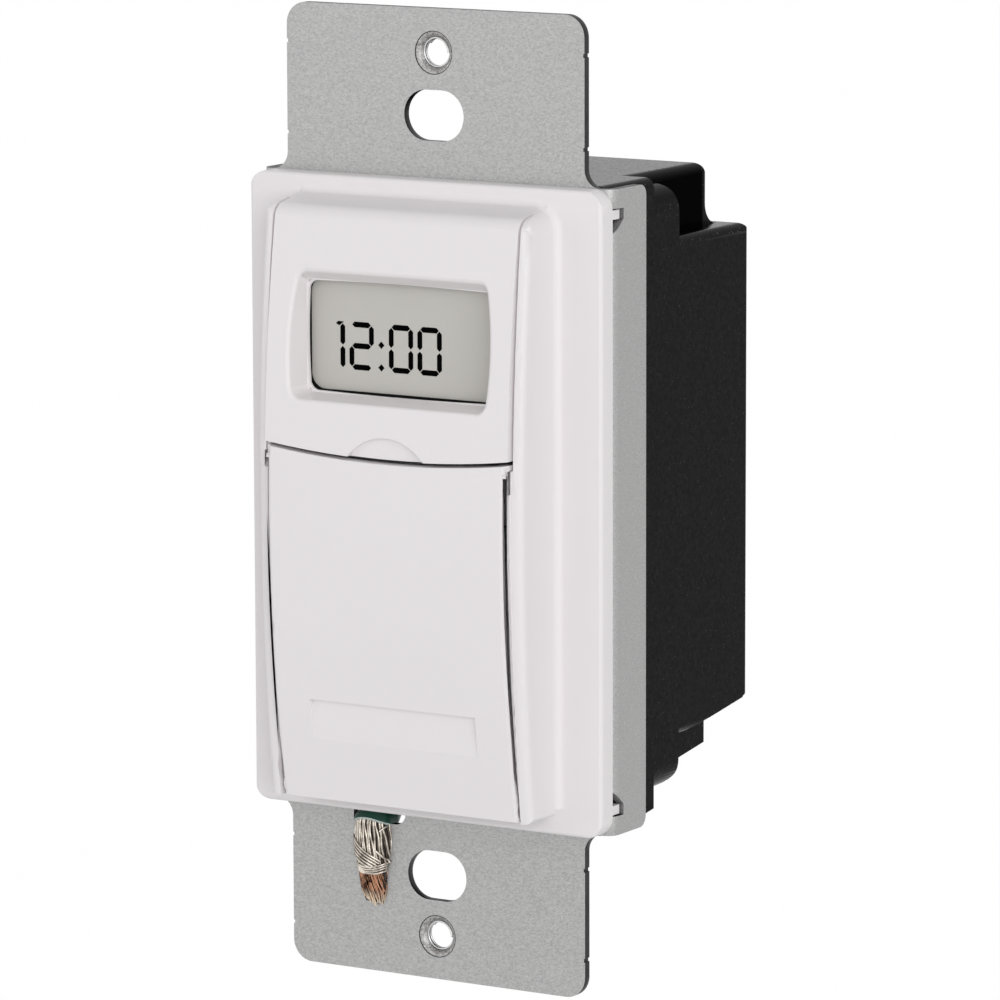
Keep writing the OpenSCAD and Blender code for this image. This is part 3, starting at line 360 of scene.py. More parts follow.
FINISH = {
    "white": make_finish(
        "white_satin_moulding", (0.812, 0.78, 0.79), (0.832, 0.80, 0.81), (0.36, 0.46),
        ior=1.46, grain=(2600.0, 0.000012, 0.25), tone=(35.0, 1.6)),
    "pale_grey": make_finish(
        "pale_grey_moulding", (0.56, 0.56, 0.55), (0.60, 0.60, 0.59), (0.4, 0.5),
        grain=(2600.0, 0.000012, 0.25), tone=(40.0, 1.6)),
    # Black grained moulding; in its polished zone a painted sheen leaves only up-facing faces reflecting
    "black": make_finish(
        "black_grained_moulding", 0.0012, 0.0095, (0.14, 0.24),
        ior=1.1, grain=(2600.0, 0.00001, 0.3), tone=(2300.0, 3.2),
        specks=(2300.0, 0.24, 0.3, 0.055), polish=POLISHED_ZONE),
    "steel": make_finish(
        "galvanised_sheet", (0.315, 0.315, 0.313), (0.50, 0.50, 0.497), (0.42, 0.58), metallic=0.75,
        grain=(4200.0, 0.000012, 0.4), tone=(6400.0, 2.5),
        specks=(4600.0, 0.4, 0.02, (0.52, 0.52, 0.515)), streak=0.55),
    "worn_steel": make_finish(
        "rough_lead_in", 0.12, (0.60, 0.59, 0.58), (0.35, 0.6), metallic=0.85,
        grain=(4200.0, 0.00003, 0.6), tone=(4200.0, 2.4)),
    # Sheared steel edges: partly the real cut finish, and near black as painted shade on the strap's edge
    # faces
    "shaded_cut_steel": make_finish(
        "sheared_edge_painted_shade", 0.008, 0.06, (0.35, 0.6), metallic=0.9,
        grain=(2600.0, 0.00002, 0.5), tone=(500.0, 2.0)),
    "display": make_finish(
        "display_face", (0.53, 0.515, 0.485), (0.56, 0.545, 0.51), (0.22, 0.3),
        ior=1.3, grain=(4000.0, 0.000004, 0.1), tone=(50.0, 1.2)),
    "ink": make_finish(
        "display_segment_ink", 0.001, 0.002, (0.6, 0.7),
        ior=1.04, grain=(4000.0, 0.000004, 0.1), tone=(200.0, 1.0)),
    # Black ring behind the window's edge: painted shadow in the gap round the display
    "painted_gap_shadow": make_finish(
        "painted_gap_shadow_ring", 0.004, 0.010, (0.8, 0.95),
        ior=1.1, grain=(2500.0, 0.00004, 0.6), tone=(300.0, 1.5)),
    "green": make_finish(
        "green_insulation", (0.008, 0.045, 0.032), (0.016, 0.075, 0.052), (0.25, 0.35),
        ior=1.4, grain=(1500.0, 0.00002, 0.2), tone=(250.0, 1.8)),
    "pale_cut": make_finish(
        "cut_insulation", (0.38, 0.46, 0.42), (0.58, 0.64, 0.60), (0.4, 0.6),
        grain=(2500.0, 0.00003, 0.5), tone=(700.0, 1.8)),
    "tinned": make_finish(
        "tinned_strand", (0.20, 0.17, 0.14), (0.90, 0.83, 0.74), (0.2, 0.42), metallic=0.95,
        grain=(1800.0, 0.00002, 0.4), tone=(900.0, 2.2)),
    # Inner strands under the tinned ones: tin darkened as painted shade between the strands
    "shaded_inner_tin": make_finish(
        "inner_strand_painted_shade", (0.025, 0.02, 0.016), (0.17, 0.14, 0.11), (0.3, 0.6), metallic=0.9,
        grain=(1800.0, 0.00002, 0.4), tone=(900.0, 2.4)),
    # Bare copper strands; the paler colour they fade to at the tail's lower end is a painted highlight
    "copper": make_finish(
        "bare_copper_strand", (0.04, 0.016, 0.01), (0.46, 0.25, 0.155), (0.22, 0.45), metallic=0.95,
        grain=(1800.0, 0.00002, 0.4), tone=(900.0, 4.5), fade=(-0.0438, -0.0454, (0.66, 0.56, 0.44))),
    # Dark fill under the strands: painted shade in the gaps between them
    "strand_gap_shade": make_finish(
        "strand_gap_painted_shade", (0.010, 0.008, 0.006), (0.035, 0.027, 0.02), (0.5, 0.8),
        grain=(1800.0, 0.00004, 0.6), tone=(600.0, 2.0)),
    "board": make_finish(
        "board_solder_mask", (0.01, 0.06, 0.025), (0.02, 0.10, 0.045), (0.3, 0.4),
        grain=(1500.0, 0.00001, 0.2), tone=(180.0, 2.4)),
    "dark_part": make_finish(
        "dark_component", (0.012, 0.012, 0.013), (0.03, 0.03, 0.032), (0.4, 0.6),
        grain=(2500.0, 0.00002, 0.4), tone=(150.0, 1.6)),
    "key": make_finish(
        "grey_key_rubber", (0.16, 0.175, 0.19), (0.20, 0.215, 0.23), (0.55, 0.7),
        grain=(2600.0, 0.00002, 0.35), tone=(120.0, 1.5)),
    "rubber_pink": make_finish(
        "contact_rubber", (0.45, 0.18, 0.2), (0.55, 0.24, 0.26), (0.6, 0.8), grain=(2000.0, 0.00003, 0.4)),
    "brass": make_finish(
        "spring_brass", (0.55, 0.40, 0.16), (0.72, 0.55, 0.26), (0.22, 0.4), metallic=1.0,
        grain=(2500.0, 0.00001, 0.3), tone=(200.0, 1.8)),
    "screw": make_finish(
        "zinc_screw", 0.5, 0.66, (0.25, 0.42), metallic=1.0,
        grain=(2500.0, 0.00001, 0.3), tone=(300.0, 1.8)),
    "sleeve": make_finish(
        "battery_sleeve", (0.42, 0.27, 0.05), (0.52, 0.34, 0.08), (0.25, 0.35), coat=0.4,
        grain=(2500.0, 0.000008, 0.2), tone=(80.0, 1.5)),
    "relay": make_finish("relay_case", (0.012, 0.05, 0.24), (0.02, 0.07, 0.32), (0.3, 0.4)),
    "film": make_finish("film_capacitor_case", (0.26, 0.014, 0.01), (0.34, 0.02, 0.014), (0.3, 0.42)),
    "can": make_finish("capacitor_sleeve", (0.008, 0.01, 0.05), (0.014, 0.016, 0.08), (0.25, 0.35)),
    "disc": make_finish(
        "dipped_disc", (0.5, 0.15, 0.015), (0.62, 0.2, 0.025), (0.3, 0.45), grain=(1500.0, 0.00003, 0.3)),
}


# Mesh helpers

def put(name, data):
    """A new object with its data, linked into the scene."""
    made = bpy.data.objects.new(name, data)
    bpy.context.scene.collection.objects.link(made)
    return made


def add_piece(name, mesh, finish, body, replaces=()):
    """Put a mesh into the scene with a finish, and tie it to its body."""
    piece = put(name, mesh)
    mesh.materials.clear()
    mesh.materials.append(FINISH[finish])
    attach(piece, body)
    if replaces:
        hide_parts(*replaces)
    return piece


def node_mesh(node):
    """A merged copy of a CAD node's mesh, with flat faces joined up."""
    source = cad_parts[node]
    shape = bmesh.new()
    shape.from_mesh(source.data)
    bmesh.ops.transform(shape, matrix=source.matrix_world, verts=shape.verts)
    bmesh.ops.remove_doubles(shape, verts=shape.verts, dist=2e-6)
    bmesh.ops.dissolve_limit(
        shape, angle_limit=math.radians(0.4), verts=shape.verts, edges=shape.edges,
        use_dissolve_boundaries=False)
    return shape


def sharp_edges(shape, least_angle):
    """Edges between two faces that turn by an angle in degrees or more."""
    least = math.radians(least_angle)
    return [edge for edge in shape.edges if len(edge.link_faces) == 2 and edge.calc_face_angle(0.0) >= least]


def bevel(shape, edges, width, segments, clamp):
    """Round some edges of a shape. With clamp, neighbours don't run into each other."""
    bmesh.ops.bevel(
        shape, geom=edges, offset=width, offset_type="OFFSET", segments=segments, profile=0.5,
        affect="EDGES", clamp_overlap=clamp, loop_slide=True)


def round_edges(shape, width, segments=2, least_angle=26.0):
    """Round all sharp edges of a shape."""
    bevel(shape, sharp_edges(shape, least_angle), width, segments, clamp=True)


def face_out(shape):
    """Turn a closed shape's faces outwards."""
    bmesh.ops.recalc_face_normals(shape, faces=shape.faces)


def join_rows(shape, rows):
    """Faces between neighbours in a list of closed rows of vertices."""
    count = len(rows[0])
    for low, high in zip(rows, rows[1:]):
        for k in range(count):
            after = (k + 1) % count
            shape.faces.new((low[k], low[after], high[after], high[k]))


def to_mesh(shape, name, smooth_angle=32.0):
    """The mesh of a shape, smooth but for edges sharper than an angle in degrees."""
    mesh = bpy.data.meshes.new(name)
    shape.to_mesh(mesh)
    shape.free()
    for face in mesh.polygons:
        face.use_smooth = True
    mesh.set_sharp_from_angle(angle=math.radians(smooth_angle))
    return mesh


def add_shape(name, shape, finish, body, replaces=()):
    """Put a shape into the scene as a piece."""
    return add_piece(name, to_mesh(shape, name), finish, body, replaces)


def weight_normals(piece):
    """Shade a piece's large faces flat up to its rounded edges."""
    modifier = piece.modifiers.new("even_shading", "WEIGHTED_NORMAL")
    modifier.keep_sharp = True
    modifier.weight = 100


def dress(node, finish, body, width, segments=2, least_angle=26.0):
    """A copy of a CAD node with its sharp edges rounded, in place of the node."""
    shape = node_mesh(node)
    round_edges(shape, width, segments, least_angle)
    weight_normals(add_shape(node + "_dressed", shape, finish, body, [node]))


# Camera, floor and light

def aim(obj, target, roll=0.0):
    """Turn a camera or a lamp towards a target."""
    turn = (Vector(target) - obj.location).to_track_quat("-Z", "Y")
    obj.rotation_euler = (turn.to_matrix() @ Matrix.Rotation(roll, 3, "Z")).to_euler()


def direction(azimuth, elevation):
    """Unit vector from the part's front: azimuth to its right and elevation up, in degrees."""
    a = math.radians(azimuth)
    e = math.radians(elevation)
    return Vector((math.sin(a) * math.cos(e), -math.cos(a) * math.cos(e), math.sin(e)))


def make_camera():
    reach = 0.695
    roll = math.radians(-0.16)
    target = Vector((0.00745, 0.0002, 0.00038))
    data = bpy.data.cameras.new("photo_camera")
    data.lens = 232.2
    data.sensor_width = 36.0
    data.clip_start = 0.05
    data.clip_end = 20.0
    camera = put("photo_camera", data)
    camera.location = target + reach * direction(azimuth=31.37, elevation=9.20)
    aim(camera, target, roll)
    bpy.context.scene.camera = camera


def seen_directly(tree):
    """A value that is 1 for camera, glossy and transmission rays."""
    path = tree.nodes.new("ShaderNodeLightPath")
    first = math_of(tree, "MAXIMUM", path.outputs["Is Camera Ray"], path.outputs["Is Glossy Ray"])
    return math_of(tree, "MAXIMUM", first, path.outputs["Is Transmission Ray"])


def light_and_look(tree, output_kind, light, look, share):
    """Mix a shader that lights the part with one that is seen, by a share."""
    blend = tree.nodes.new("ShaderNodeMixShader")
    output = tree.nodes.new(output_kind)
    for index, socket in enumerate((share, light.outputs[0], look.outputs[0])):
        tree.links.new(socket, blend.inputs[index])
    link_up(tree, blend, "Shader", output, "Surface")


def make_floor():
    """A floor that looks white, and lights the part only as a pale matt surface."""
    seen_white = 0.995
    material = bpy.data.materials.new("pale_floor")
    tree = blank_tree(material)
    matt = new_node(tree, "ShaderNodeBsdfDiffuse", {"Color": (0.86, 0.86, 0.86, 1)})
    white = new_node(tree, "ShaderNodeEmission", {"Strength": 1.0})
    share = math_of(tree, "MULTIPLY", seen_directly(tree), seen_white)
    light_and_look(tree, "ShaderNodeOutputMaterial", matt, white, share)
    half = 4.0
    drop = 0.05
    height = cad_box[0][2] - drop
    corners = [(-half, -half, height), (half, -half, height), (half, half, height), (-half, half, height)]
    mesh = bpy.data.meshes.new("floor")
    mesh.from_pydata(corners, [], [(0, 1, 2, 3)])
    mesh.materials.append(material)
    floor = put("floor", mesh)


def make_world():
    """A world that looks white, and lights the part more softly."""
    world = bpy.data.worlds.new("white_studio")
    bpy.context.scene.world = world
    tree = blank_tree(world)
    soft = new_node(tree, "ShaderNodeBackground", {"Color": (1.0, 1.0, 1.0, 1), "Strength": 0.55})
    white = new_node(tree, "ShaderNodeBackground", {"Color": (1.0, 1.0, 1.0, 1), "Strength": 1.0})
    light_and_look(tree, "ShaderNodeOutputWorld", soft, white, seen_directly(tree))


def add_lamp(name, azimuth, elevation, reach, size, power):
    """An area lamp aimed at the origin; angles in degrees, sizes in metres, power in watts."""
    data = bpy.data.lights.new(name, "AREA")
    data.shape = "RECTANGLE"
    data.size = size[0]
    data.size_y = size[1]
    data.energy = power
    lamp = put(name, data)
    lamp.location = reach * direction(azimuth, elevation)
    aim(lamp, (0, 0, 0))


def make_lights():
    add_lamp("key_softbox", azimuth=50.0, elevation=11.0, reach=1.2, size=(0.9, 0.9), power=6.2)
    add_lamp("left_fill", azimuth=-42.0, elevation=8.0, reach=1.2, size=(0.9, 0.9), power=2.0)
    add_lamp("low_fill", azimuth=20.0, elevation=-2.5, reach=0.9, size=(0.9, 0.08), power=0.55)


# Large white pieces, housing and strap

def front_depth(point):
    """Depth of a point behind the arched face, in metres."""
    return point.y - (FACE_FRONT + FACE_ARCH - math.sqrt(FACE_ARCH ** 2 - (point.z / MM) ** 2)) * MM


def cut_across(shape, height):
    """Add a loop of edges round a shape at a height in metres."""
    parts = shape.verts[:] + shape.edges[:] + shape.faces[:]
    bmesh.ops.bisect_plane(shape, geom=parts, dist=1e-7, plane_co=(0, 0, height), plane_no=(0, 0, 1))


def hold_height(shape, height):
    """Two loops close together, so that a change below a height stays below it."""
    for step in (-LOOP_GAP, LOOP_GAP):
        cut_across(shape, (height + step) * MM)


def fall_off(value, hold, reach):
    """1 up to hold, then down to 0 at reach."""
    return min(1.0, max(0.0, (reach - value) / (reach - hold)))


def soften_dish(shape):
    """Round the edge where the dished window leaves the arched face."""
    rim = []
    for edge in sharp_edges(shape, least_angle=8.0):
        ends = [vert.co for vert in edge.verts]
        across = max(abs(end.x) for end in ends)
        upward = max(abs(end.z - WINDOW_CENTRE * MM) for end in ends)
        depth = max(abs(front_depth(end)) for end in ends)
        if across < DISH_LIMIT[0] * MM and upward < DISH_LIMIT[1] * MM and depth < DISH_RIM_DEPTH * MM:
            rim.append(edge)
    bevel(shape, rim, DISH_ROUND * MM, segments=4, clamp=False)


def bow_dish(shape):
    """Bow the dish's upright rims in towards their ends."""
    most = 1.2
    centre = WINDOW_CENTRE * MM
    for k in range(-6, 7):
        cut_across(shape, centre + k * DISH_LOOP_STEP * MM)
    for vert in shape.verts:
        up = (vert.co.z - centre) / MM
        side = abs(vert.co.x) / MM
        on_rim = front_depth(vert.co) <= DISH_BOW_DEPTH * MM
        if abs(up) > DISH_LIMIT[1] or side > DISH_LIMIT[0] or not on_rim:
            continue
        share = min(most, (up / WINDOW_HALF[1]) ** 2) * fall_off(-side, -DISH_BOW_FULL, -DISH_BOW_START)
        vert.co.x -= math.copysign(DISH_BOW * MM * share, vert.co.x)


def lip_edge(shape):
    """Where the door's side lips end, away from its hinge pins."""
    reach = DOOR_MIDDLE_HALF * MM
    return max(vert.co.x for vert in shape.verts if abs(vert.co.z - DOOR_MIDDLE_Z * MM) < reach)


def thin_lips(shape):
    """Draw the door's side lips thin at the front, and open the right gap behind its lip."""
    flatten = 0.6
    least_draw = 0.35
    edge_x = lip_edge(shape)
    hold_height(shape, LIP_TOP)
    for vert in shape.verts:
        if not SKIRT_LOW * MM < vert.co.z < LIP_TOP * MM:
            continue
        behind = front_depth(vert.co)
        to_edge = (edge_x - abs(vert.co.x)) / MM
        on_right = vert.co.x > 0
        if behind < LIP_SKIN * MM:
            if to_edge < LIP_ROUND:
                vert.co.y -= flatten * behind
            if on_right:
                share = least_draw + (1.0 - least_draw) * fall_off(-vert.co.z / MM, *LIP_TAPER)
                vert.co.x -= LIP_DRAW * MM * share * fall_off(to_edge, LIP_ROUND, LIP_REACH)
        elif on_right:
            vert.co.x -= SKIRT_DRAW * MM * fall_off(to_edge, SKIRT_HOLD, SKIRT_REACH)


def close_left_gap(shape):
    """Bring the left rail's inner wall nearer to the door."""
    door = node_mesh("door")
    wall_x = -lip_edge(door) - DOOR_GAP * MM
    door.free()
    hold_height(shape, RAIL_TOP)
    for vert in shape.verts:
        out = (wall_x - vert.co.x) / MM
        beside_door = RAIL_LOW * MM < vert.co.z < RAIL_TOP * MM and vert.co.y < RAIL_BACK * MM
        if beside_door and -RAIL_HOLD < out < RAIL_REACH:
            vert.co.x += RAIL_DRAW * MM * fall_off(out, RAIL_HOLD, RAIL_REACH)


def make_bezel():
    shape = node_mesh("front_bezel")
    soften_dish(shape)
    round_edges(shape, width=0.14 * MM, segments=2, least_angle=38.0)
    bow_dish(shape)
    close_left_gap(shape)
    piece = add_shape(
        "front_bezel_dressed", shape, "white", HOUSING_BODY, ["front_bezel"])
    weight_normals(piece)


def make_door():
    shape = node_mesh("door")
    round_edges(shape, width=0.12 * MM, segments=2, least_angle=38.0)
    thin_lips(shape)
    weight_normals(add_shape("door_dressed", shape, "white", "door_leaf", ["door"]))


def make_housing():
    dress("rear_housing", "black", HOUSING_BODY, 0.35 * MM, segments=3)


def open_bores(shape):
    """Widen the two tapped bores by their thread's depth and shorten their collars."""
    grow = THREAD_ROOT_R / PLATE_BORE_R
    for vert in shape.verts:
        height = math.copysign(PLATE_HOLE_Z * MM, vert.co.z)
        reach = math.hypot(vert.co.x, vert.co.z - height)
        if reach < COLLAR_REACH * MM and vert.co.y > 0.02 * MM:
            vert.co.y *= COLLAR_SHARE
        if reach < BORE_REACH * MM:
            vert.co.x *= grow
            vert.co.z = height + (vert.co.z - height) * grow


def strap_finish(face, bend_start):
    """Which finish a strap face has: the sheet's, a sheared edge's (near black, partly the cut finish and
    partly painted shade) or a hole's rough lead-in's.
    """
    normal = face.normal
    centre = face.center
    from_hole = math.hypot(centre.x, abs(centre.z) - PLATE_HOLE_Z * MM)
    if from_hole < LEAD_IN_R * MM and 0.3 < abs(normal.y) < 0.97:
        return LEAD_IN
    if abs(centre.x) < bend_start:
        edge_on = abs(normal.y) < 0.35
    else:
        edge_on = abs(normal.z) > 0.8 or normal.y > 0.8
    return SHEARED if edge_on else SHEET


def make_strap():
    shape = node_mesh("mounting_strap")
    open_bores(shape)
    round_edges(shape, width=0.1 * MM, segments=2, least_angle=50.0)
    piece = add_shape(
        "mounting_strap_dressed", shape, "steel", HOUSING_BODY, ["mounting_strap"])
    mesh = piece.data
    mesh.materials.append(FINISH["shaded_cut_steel"])
    mesh.materials.append(FINISH["worn_steel"])
    bend_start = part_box("front_bezel")[1][0] - BEND_INSET * MM
    for face in mesh.polygons:
        face.material_index = strap_finish(face, bend_start)
    weight_normals(piece)


def finish_nodes():
    """Finishes of the CAD nodes that keep their own meshes."""
    groups = {
        "display": ["lcd_glass"],
        "dark_part": ["lcd_holder", "control_chips", "key_switches", "board_connector"],
        "rubber_pink": ["zebra_strips"],
        "board": ["control_board", "power_board"],
        "sleeve": ["battery"],
        "brass": ["contact_positive", "contact_negative", "wire_terminals"],
        "relay": ["relay"],
        "film": ["film_capacitor"],
        "can": ["electrolytic_capacitors"],
        "disc": ["varistor"],
        "screw": ["housing_screws"],
    }
    for finish, nodes in groups.items():
        for node in nodes:
            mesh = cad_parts[node].data
            mesh.materials.clear()
            mesh.materials.append(FINISH[finish])


# Controls behind the door

def block(shape, x0, x1, z0, z1, front, back):
    """Add a flat-sided block to a shape, from edge to edge in X and Z and from front to back in Y."""
    corners = [(x0, z0), (x1, z0), (x1, z1), (x0, z1)]
    near = [shape.verts.new((x, front, z)) for x, z in corners]
    far = [shape.verts.new((x, back, z)) for x, z in corners]
    shape.faces.new(near)
    shape.faces.new(list(reversed(far)))
    for k in range(4):
        shape.faces.new((near[k], far[k], far[(k + 1) % 4], near[(k + 1) % 4]))


def key_mark(key, body, bars):
    """Raised bars on a key's front. Each bar is its centre and half sizes in X and Z, in millimetres."""
    low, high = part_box(key)
    middle_x = (low[0] + high[0]) / 2
    middle_z = (low[2] + high[2]) / 2
    front = low[1] - MARK_RAISE * MM
    back = low[1] + MARK_ROOT * MM
    shape = bmesh.new()
    for x, z, half_x, half_z in bars:
        block(
            shape, middle_x + (x - half_x) * MM, middle_x + (x + half_x) * MM,
            middle_z + (z - half_z) * MM, middle_z + (z + half_z) * MM, front, back)
    face_out(shape)
    round_edges(shape, width=0.04 * MM, segments=1, least_angle=50.0)
    add_shape(key + "_mark", shape, "white", body)


def make_controls():
    """Deck, battery tray, plunger and keys, and the generic marks on the keys."""
    least_angle = 40.0
    dress("keypad_deck", "pale_grey", HOUSING_BODY, 0.15 * MM, 2, least_angle)
    dress("battery_tray", "white", HOUSING_BODY, 0.12 * MM, 2, least_angle)
    dress("on_off_plunger", "pale_grey", "plunger", 0.2 * MM, 3, least_angle)
    bars = {
        "mode": [(-0.9, 0.0, 0.25, 0.55), (0.0, 0.0, 0.25, 0.55), (0.9, 0.0, 0.25, 0.55)],
        "day": [(0.0, 0.35, 1.1, 0.15), (0.0, -0.35, 1.1, 0.15)],
        "plus": [(0.0, 0.0, 0.8, 0.17), (0.0, 0.485, 0.17, 0.315), (0.0, -0.485, 0.17, 0.315)],
        "minus": [(0.0, 0.0, 0.8, 0.17)],
        "enter": [(0.0, 0.0, 0.55, 0.55)],
    }
    for name, marks in bars.items():
        body = name + "_key"
        dress("key_" + name, "key", body, 0.22 * MM, 3, least_angle)
        key_mark("key_" + name, body, marks)


# Swept pieces: tubes along chains of points

def build_sweep_tree():
    """Round tubes along the edge chains of a mesh, thicker or thinner by the chain's swell."""
    tree = bpy.data.node_groups.new("swept_guides", "GeometryNodeTree")
    inputs = {"Guides": "Geometry", "Radius": "Float", "Sides": "Int"}
    for label, kind in inputs.items():
        tree.interface.new_socket(label, in_out="INPUT", socket_type="NodeSocket" + kind)
    tree.interface.new_socket("Tubes", in_out="OUTPUT", socket_type="NodeSocketGeometry")
    given = tree.nodes.new("NodeGroupInput")
    result = tree.nodes.new("NodeGroupOutput")
    chain = tree.nodes.new("GeometryNodeMeshToCurve")
    swell = tree.nodes.new("GeometryNodeInputNamedAttribute")
    swell.data_type = "FLOAT"
    swell.inputs["Name"].default_value = "swell"
    sized = tree.nodes.new("GeometryNodeSetCurveRadius")
    section = tree.nodes.new("GeometryNodeCurvePrimitiveCircle")
    tube = new_node(tree, "GeometryNodeCurveToMesh", {"Fill Caps": True})
    smooth = tree.nodes.new("GeometryNodeSetShadeSmooth")
    real = tree.nodes.new("GeometryNodeRealizeInstances")
    links = [
        (given, "Guides", chain, "Mesh"), (chain, "Curve", sized, "Curve"),
        (swell, "Attribute", sized, "Radius"), (given, "Sides", section, "Resolution"),
        (given, "Radius", section, "Radius"), (sized, "Curve", tube, "Curve"),
        (section, "Curve", tube, "Profile Curve"), (tube, "Mesh", smooth, "Geometry"),
        (smooth, "Geometry", real, "Geometry"), (real, "Geometry", result, "Tubes")]
    for source, socket, target, name in links:
        link_up(tree, source, socket, target, name)
    return tree


SWEEP = build_sweep_tree()


def set_input(modifier, label, value):
    """Set an input of a node modifier by its label."""
    for item in modifier.node_group.interface.items_tree:
        if item.item_type == "SOCKET" and item.in_out == "INPUT" and item.name == label:
            modifier[item.identifier] = value


def sweep(name, chains, radius, sides, finish, replaces=(), swell=None, closed=False):
    """A piece of tubes along chains of points, in millimetres; swell(share) scales the radius on the way."""
    points = []
    edges = []
    swells = []
    for chain in chains:
        first = len(points)
        count = len(chain)
        points += [Vector(p) * MM for p in chain]
        edges += [(first + k, first + k + 1) for k in range(count - 1)]
        if closed:
            edges.append((first + count - 1, first))
        swells += [swell(k / (count - 1)) if swell else 1.0 for k in range(count)]
    guides = bpy.data.meshes.new(name + "_guides")
    guides.from_pydata(points, edges, [])
    guides.attributes.new("swell", "FLOAT", "POINT").data.foreach_set("value", swells)
    carrier = put(name + "_guides", guides)
    modifier = carrier.modifiers.new("sweep", "NODES")
    modifier.node_group = SWEEP
    set_input(modifier, "Radius", radius * MM)
    set_input(modifier, "Sides", sides)
    scene_state = bpy.context.evaluated_depsgraph_get()
    mesh = bpy.data.meshes.new_from_object(carrier.evaluated_get(scene_state))
    mesh.name = name
    bpy.data.objects.remove(carrier)
    add_piece(name, mesh, finish, HOUSING_BODY, replaces)


def smooth_route(points, steps):
    """Points of a smooth curve through a route, with a number of steps between neighbours."""
    made = []
    last = len(points) - 1
    for i in range(last):
        before = Vector(points[max(i - 1, 0)])
        a = Vector(points[i])
        b = Vector(points[i + 1])
        after = Vector(points[min(i + 2, last)])
        for k in range(steps):
            t = k / steps
            made.append(0.5 * (
                2 * a + (b - before) * t + (2 * before - 5 * a + 4 * b - after) * t ** 2
                + (3 * a - before - 3 * b + after) * t ** 3))
    made.append(Vector(points[last]))
    return made


# Ground lead, its tinned strands and its copper tail

def between(value, stops):
    """Value read from a list of (place, value) stops."""
    if value <= stops[0][0]:
        return stops[0][1]
    for (a, low), (b, high) in zip(stops, stops[1:]):
        if value <= b:
            return low + (high - low) * (value - a) / (b - a)
    return stops[-1][1]


def bundle_half(run):
    """Half the bundle's width at a run along it."""
    return between(run, [
        (0, 1.5), (1.6, 1.8), (2.8, 2.1), (4.2, 2.25), (6.2, 2.15), (8.1, 1.72), (10.4, 1.62), (12.2, 1.2)])


def bundle_rise(run):
    """Height of the bundle's round top at a run along it."""
    return between(run, [(0, 1.45), (2.8, 1.5), (6.2, 1.45), (8.1, 1.05), (10.4, 0.85), (12.2, 0.4)])


def over_bend(x, run, height):
    """Point over the lead's way out of the notch, round its bend and down the strap."""
    if run < BEND_START:
        return Vector((x, NOTCH_FRONT - run, NOTCH_BOTTOM + height))
    if run < BEND_END:
        turn = (run - BEND_START) / (BEND_END - BEND_START) * math.pi / 2
        return Vector((x, STRAP_FRONT - height * math.sin(turn), NOTCH_BOTTOM + height * math.cos(turn)))
    return Vector((x, STRAP_FRONT - height, NOTCH_BOTTOM - (run - BEND_END)))


def bundle_point(run, across, lift):
    """Point of the bundle: along it from the lead, across it from -1 to 1, and lifted off its round top."""
    side = max(-1.0, min(1.0, across))
    height = bundle_rise(run) * math.sqrt(max(0.0, 1.0 - side * side)) + lift
    return over_bend(LEAD_X + across * bundle_half(run), run, height)


def laid_strands(rng, count, start, end, twist, lift, spread):
    """Strands side by side over the bundle that turn across it by twist on the way down."""
    steps = 34
    edge = 1.02
    in_tail = end > TAIL_START + 1
    chains = []
    for index in range(count):
        base = spread * (-1 + 2 * index / (count - 1))
        sway = rng.uniform(0.015, 0.05)
        phase = rng.uniform(0, 6.3)
        begin = start + rng.uniform(0.0, 0.2)
        stop = end - rng.uniform(0.0, 0.5)
        if in_tail:
            stop -= 0.75 * base * base
        chain = []
        for k in range(steps):
            run = begin + (stop - begin) * k / (steps - 1)
            if in_tail:
                share = k / (steps - 1)
            else:
                share = max(0.0, (run - BEND_END) / (TAIL_START - BEND_END))
            across = base + twist * share ** 1.4 + sway * math.sin(1.3 * run + phase)
            sink = max(0.0, abs(across) - 1.0) * 0.3
            ripple = 0.04 * math.sin(2.1 * run + 2 * phase)
            chain.append(bundle_point(run, max(-edge, min(edge, across)), lift - sink + ripple))
        chains.append(chain)
    return chains


def crossing_strands(rng):
    """Strands that slant over the bundle from its left edge down to its right."""
    steps = 25
    chains = []
    for index in range(5):
        begin = 4.2 + 0.55 * index + rng.uniform(-0.1, 0.1)
        chain = []
        for k in range(steps + 1):
            share = k / steps
            run = begin + (2.7 - 0.25 * index) * share
            across = -1.0 + (1.75 - 0.08 * index) * share ** 1.15
            lift = 0.10 + 0.16 * math.sin(math.pi * min(1.0, 1.15 * share))
            chain.append(bundle_point(run, across, lift))
        chains.append(chain)
    return chains


def wrapping_strands(rng):
    """Strands wound round the foot of the tinned bundle."""
    steps = 24
    edge = 1.02
    last_run = TAIL_START + 0.25
    chains = []
    for index in range(4):
        base = 7.25 + 0.26 * index
        tilt = rng.uniform(-0.06, 0.10)
        lift = 0.16 + 0.03 * (index % 2)
        chain = []
        for k in range(steps + 1):
            across = -edge + 2 * edge * k / steps
            run = base + 0.42 * (1 - across * across) - tilt * across
            chain.append(bundle_point(min(run, last_run), across, lift))
        chains.append(chain)
    return chains


def loose_ends():
    """Two ends that stand off the bundle's right side."""
    lower = [bundle_point(5.7 + 0.13 * k, 0.55 + 0.055 * k, 0.2) for k in range(12)]
    upper = [bundle_point(3.5 - 0.08 * k, 0.72 + 0.04 * k, 0.28) for k in range(8)]
    return [lower, upper]


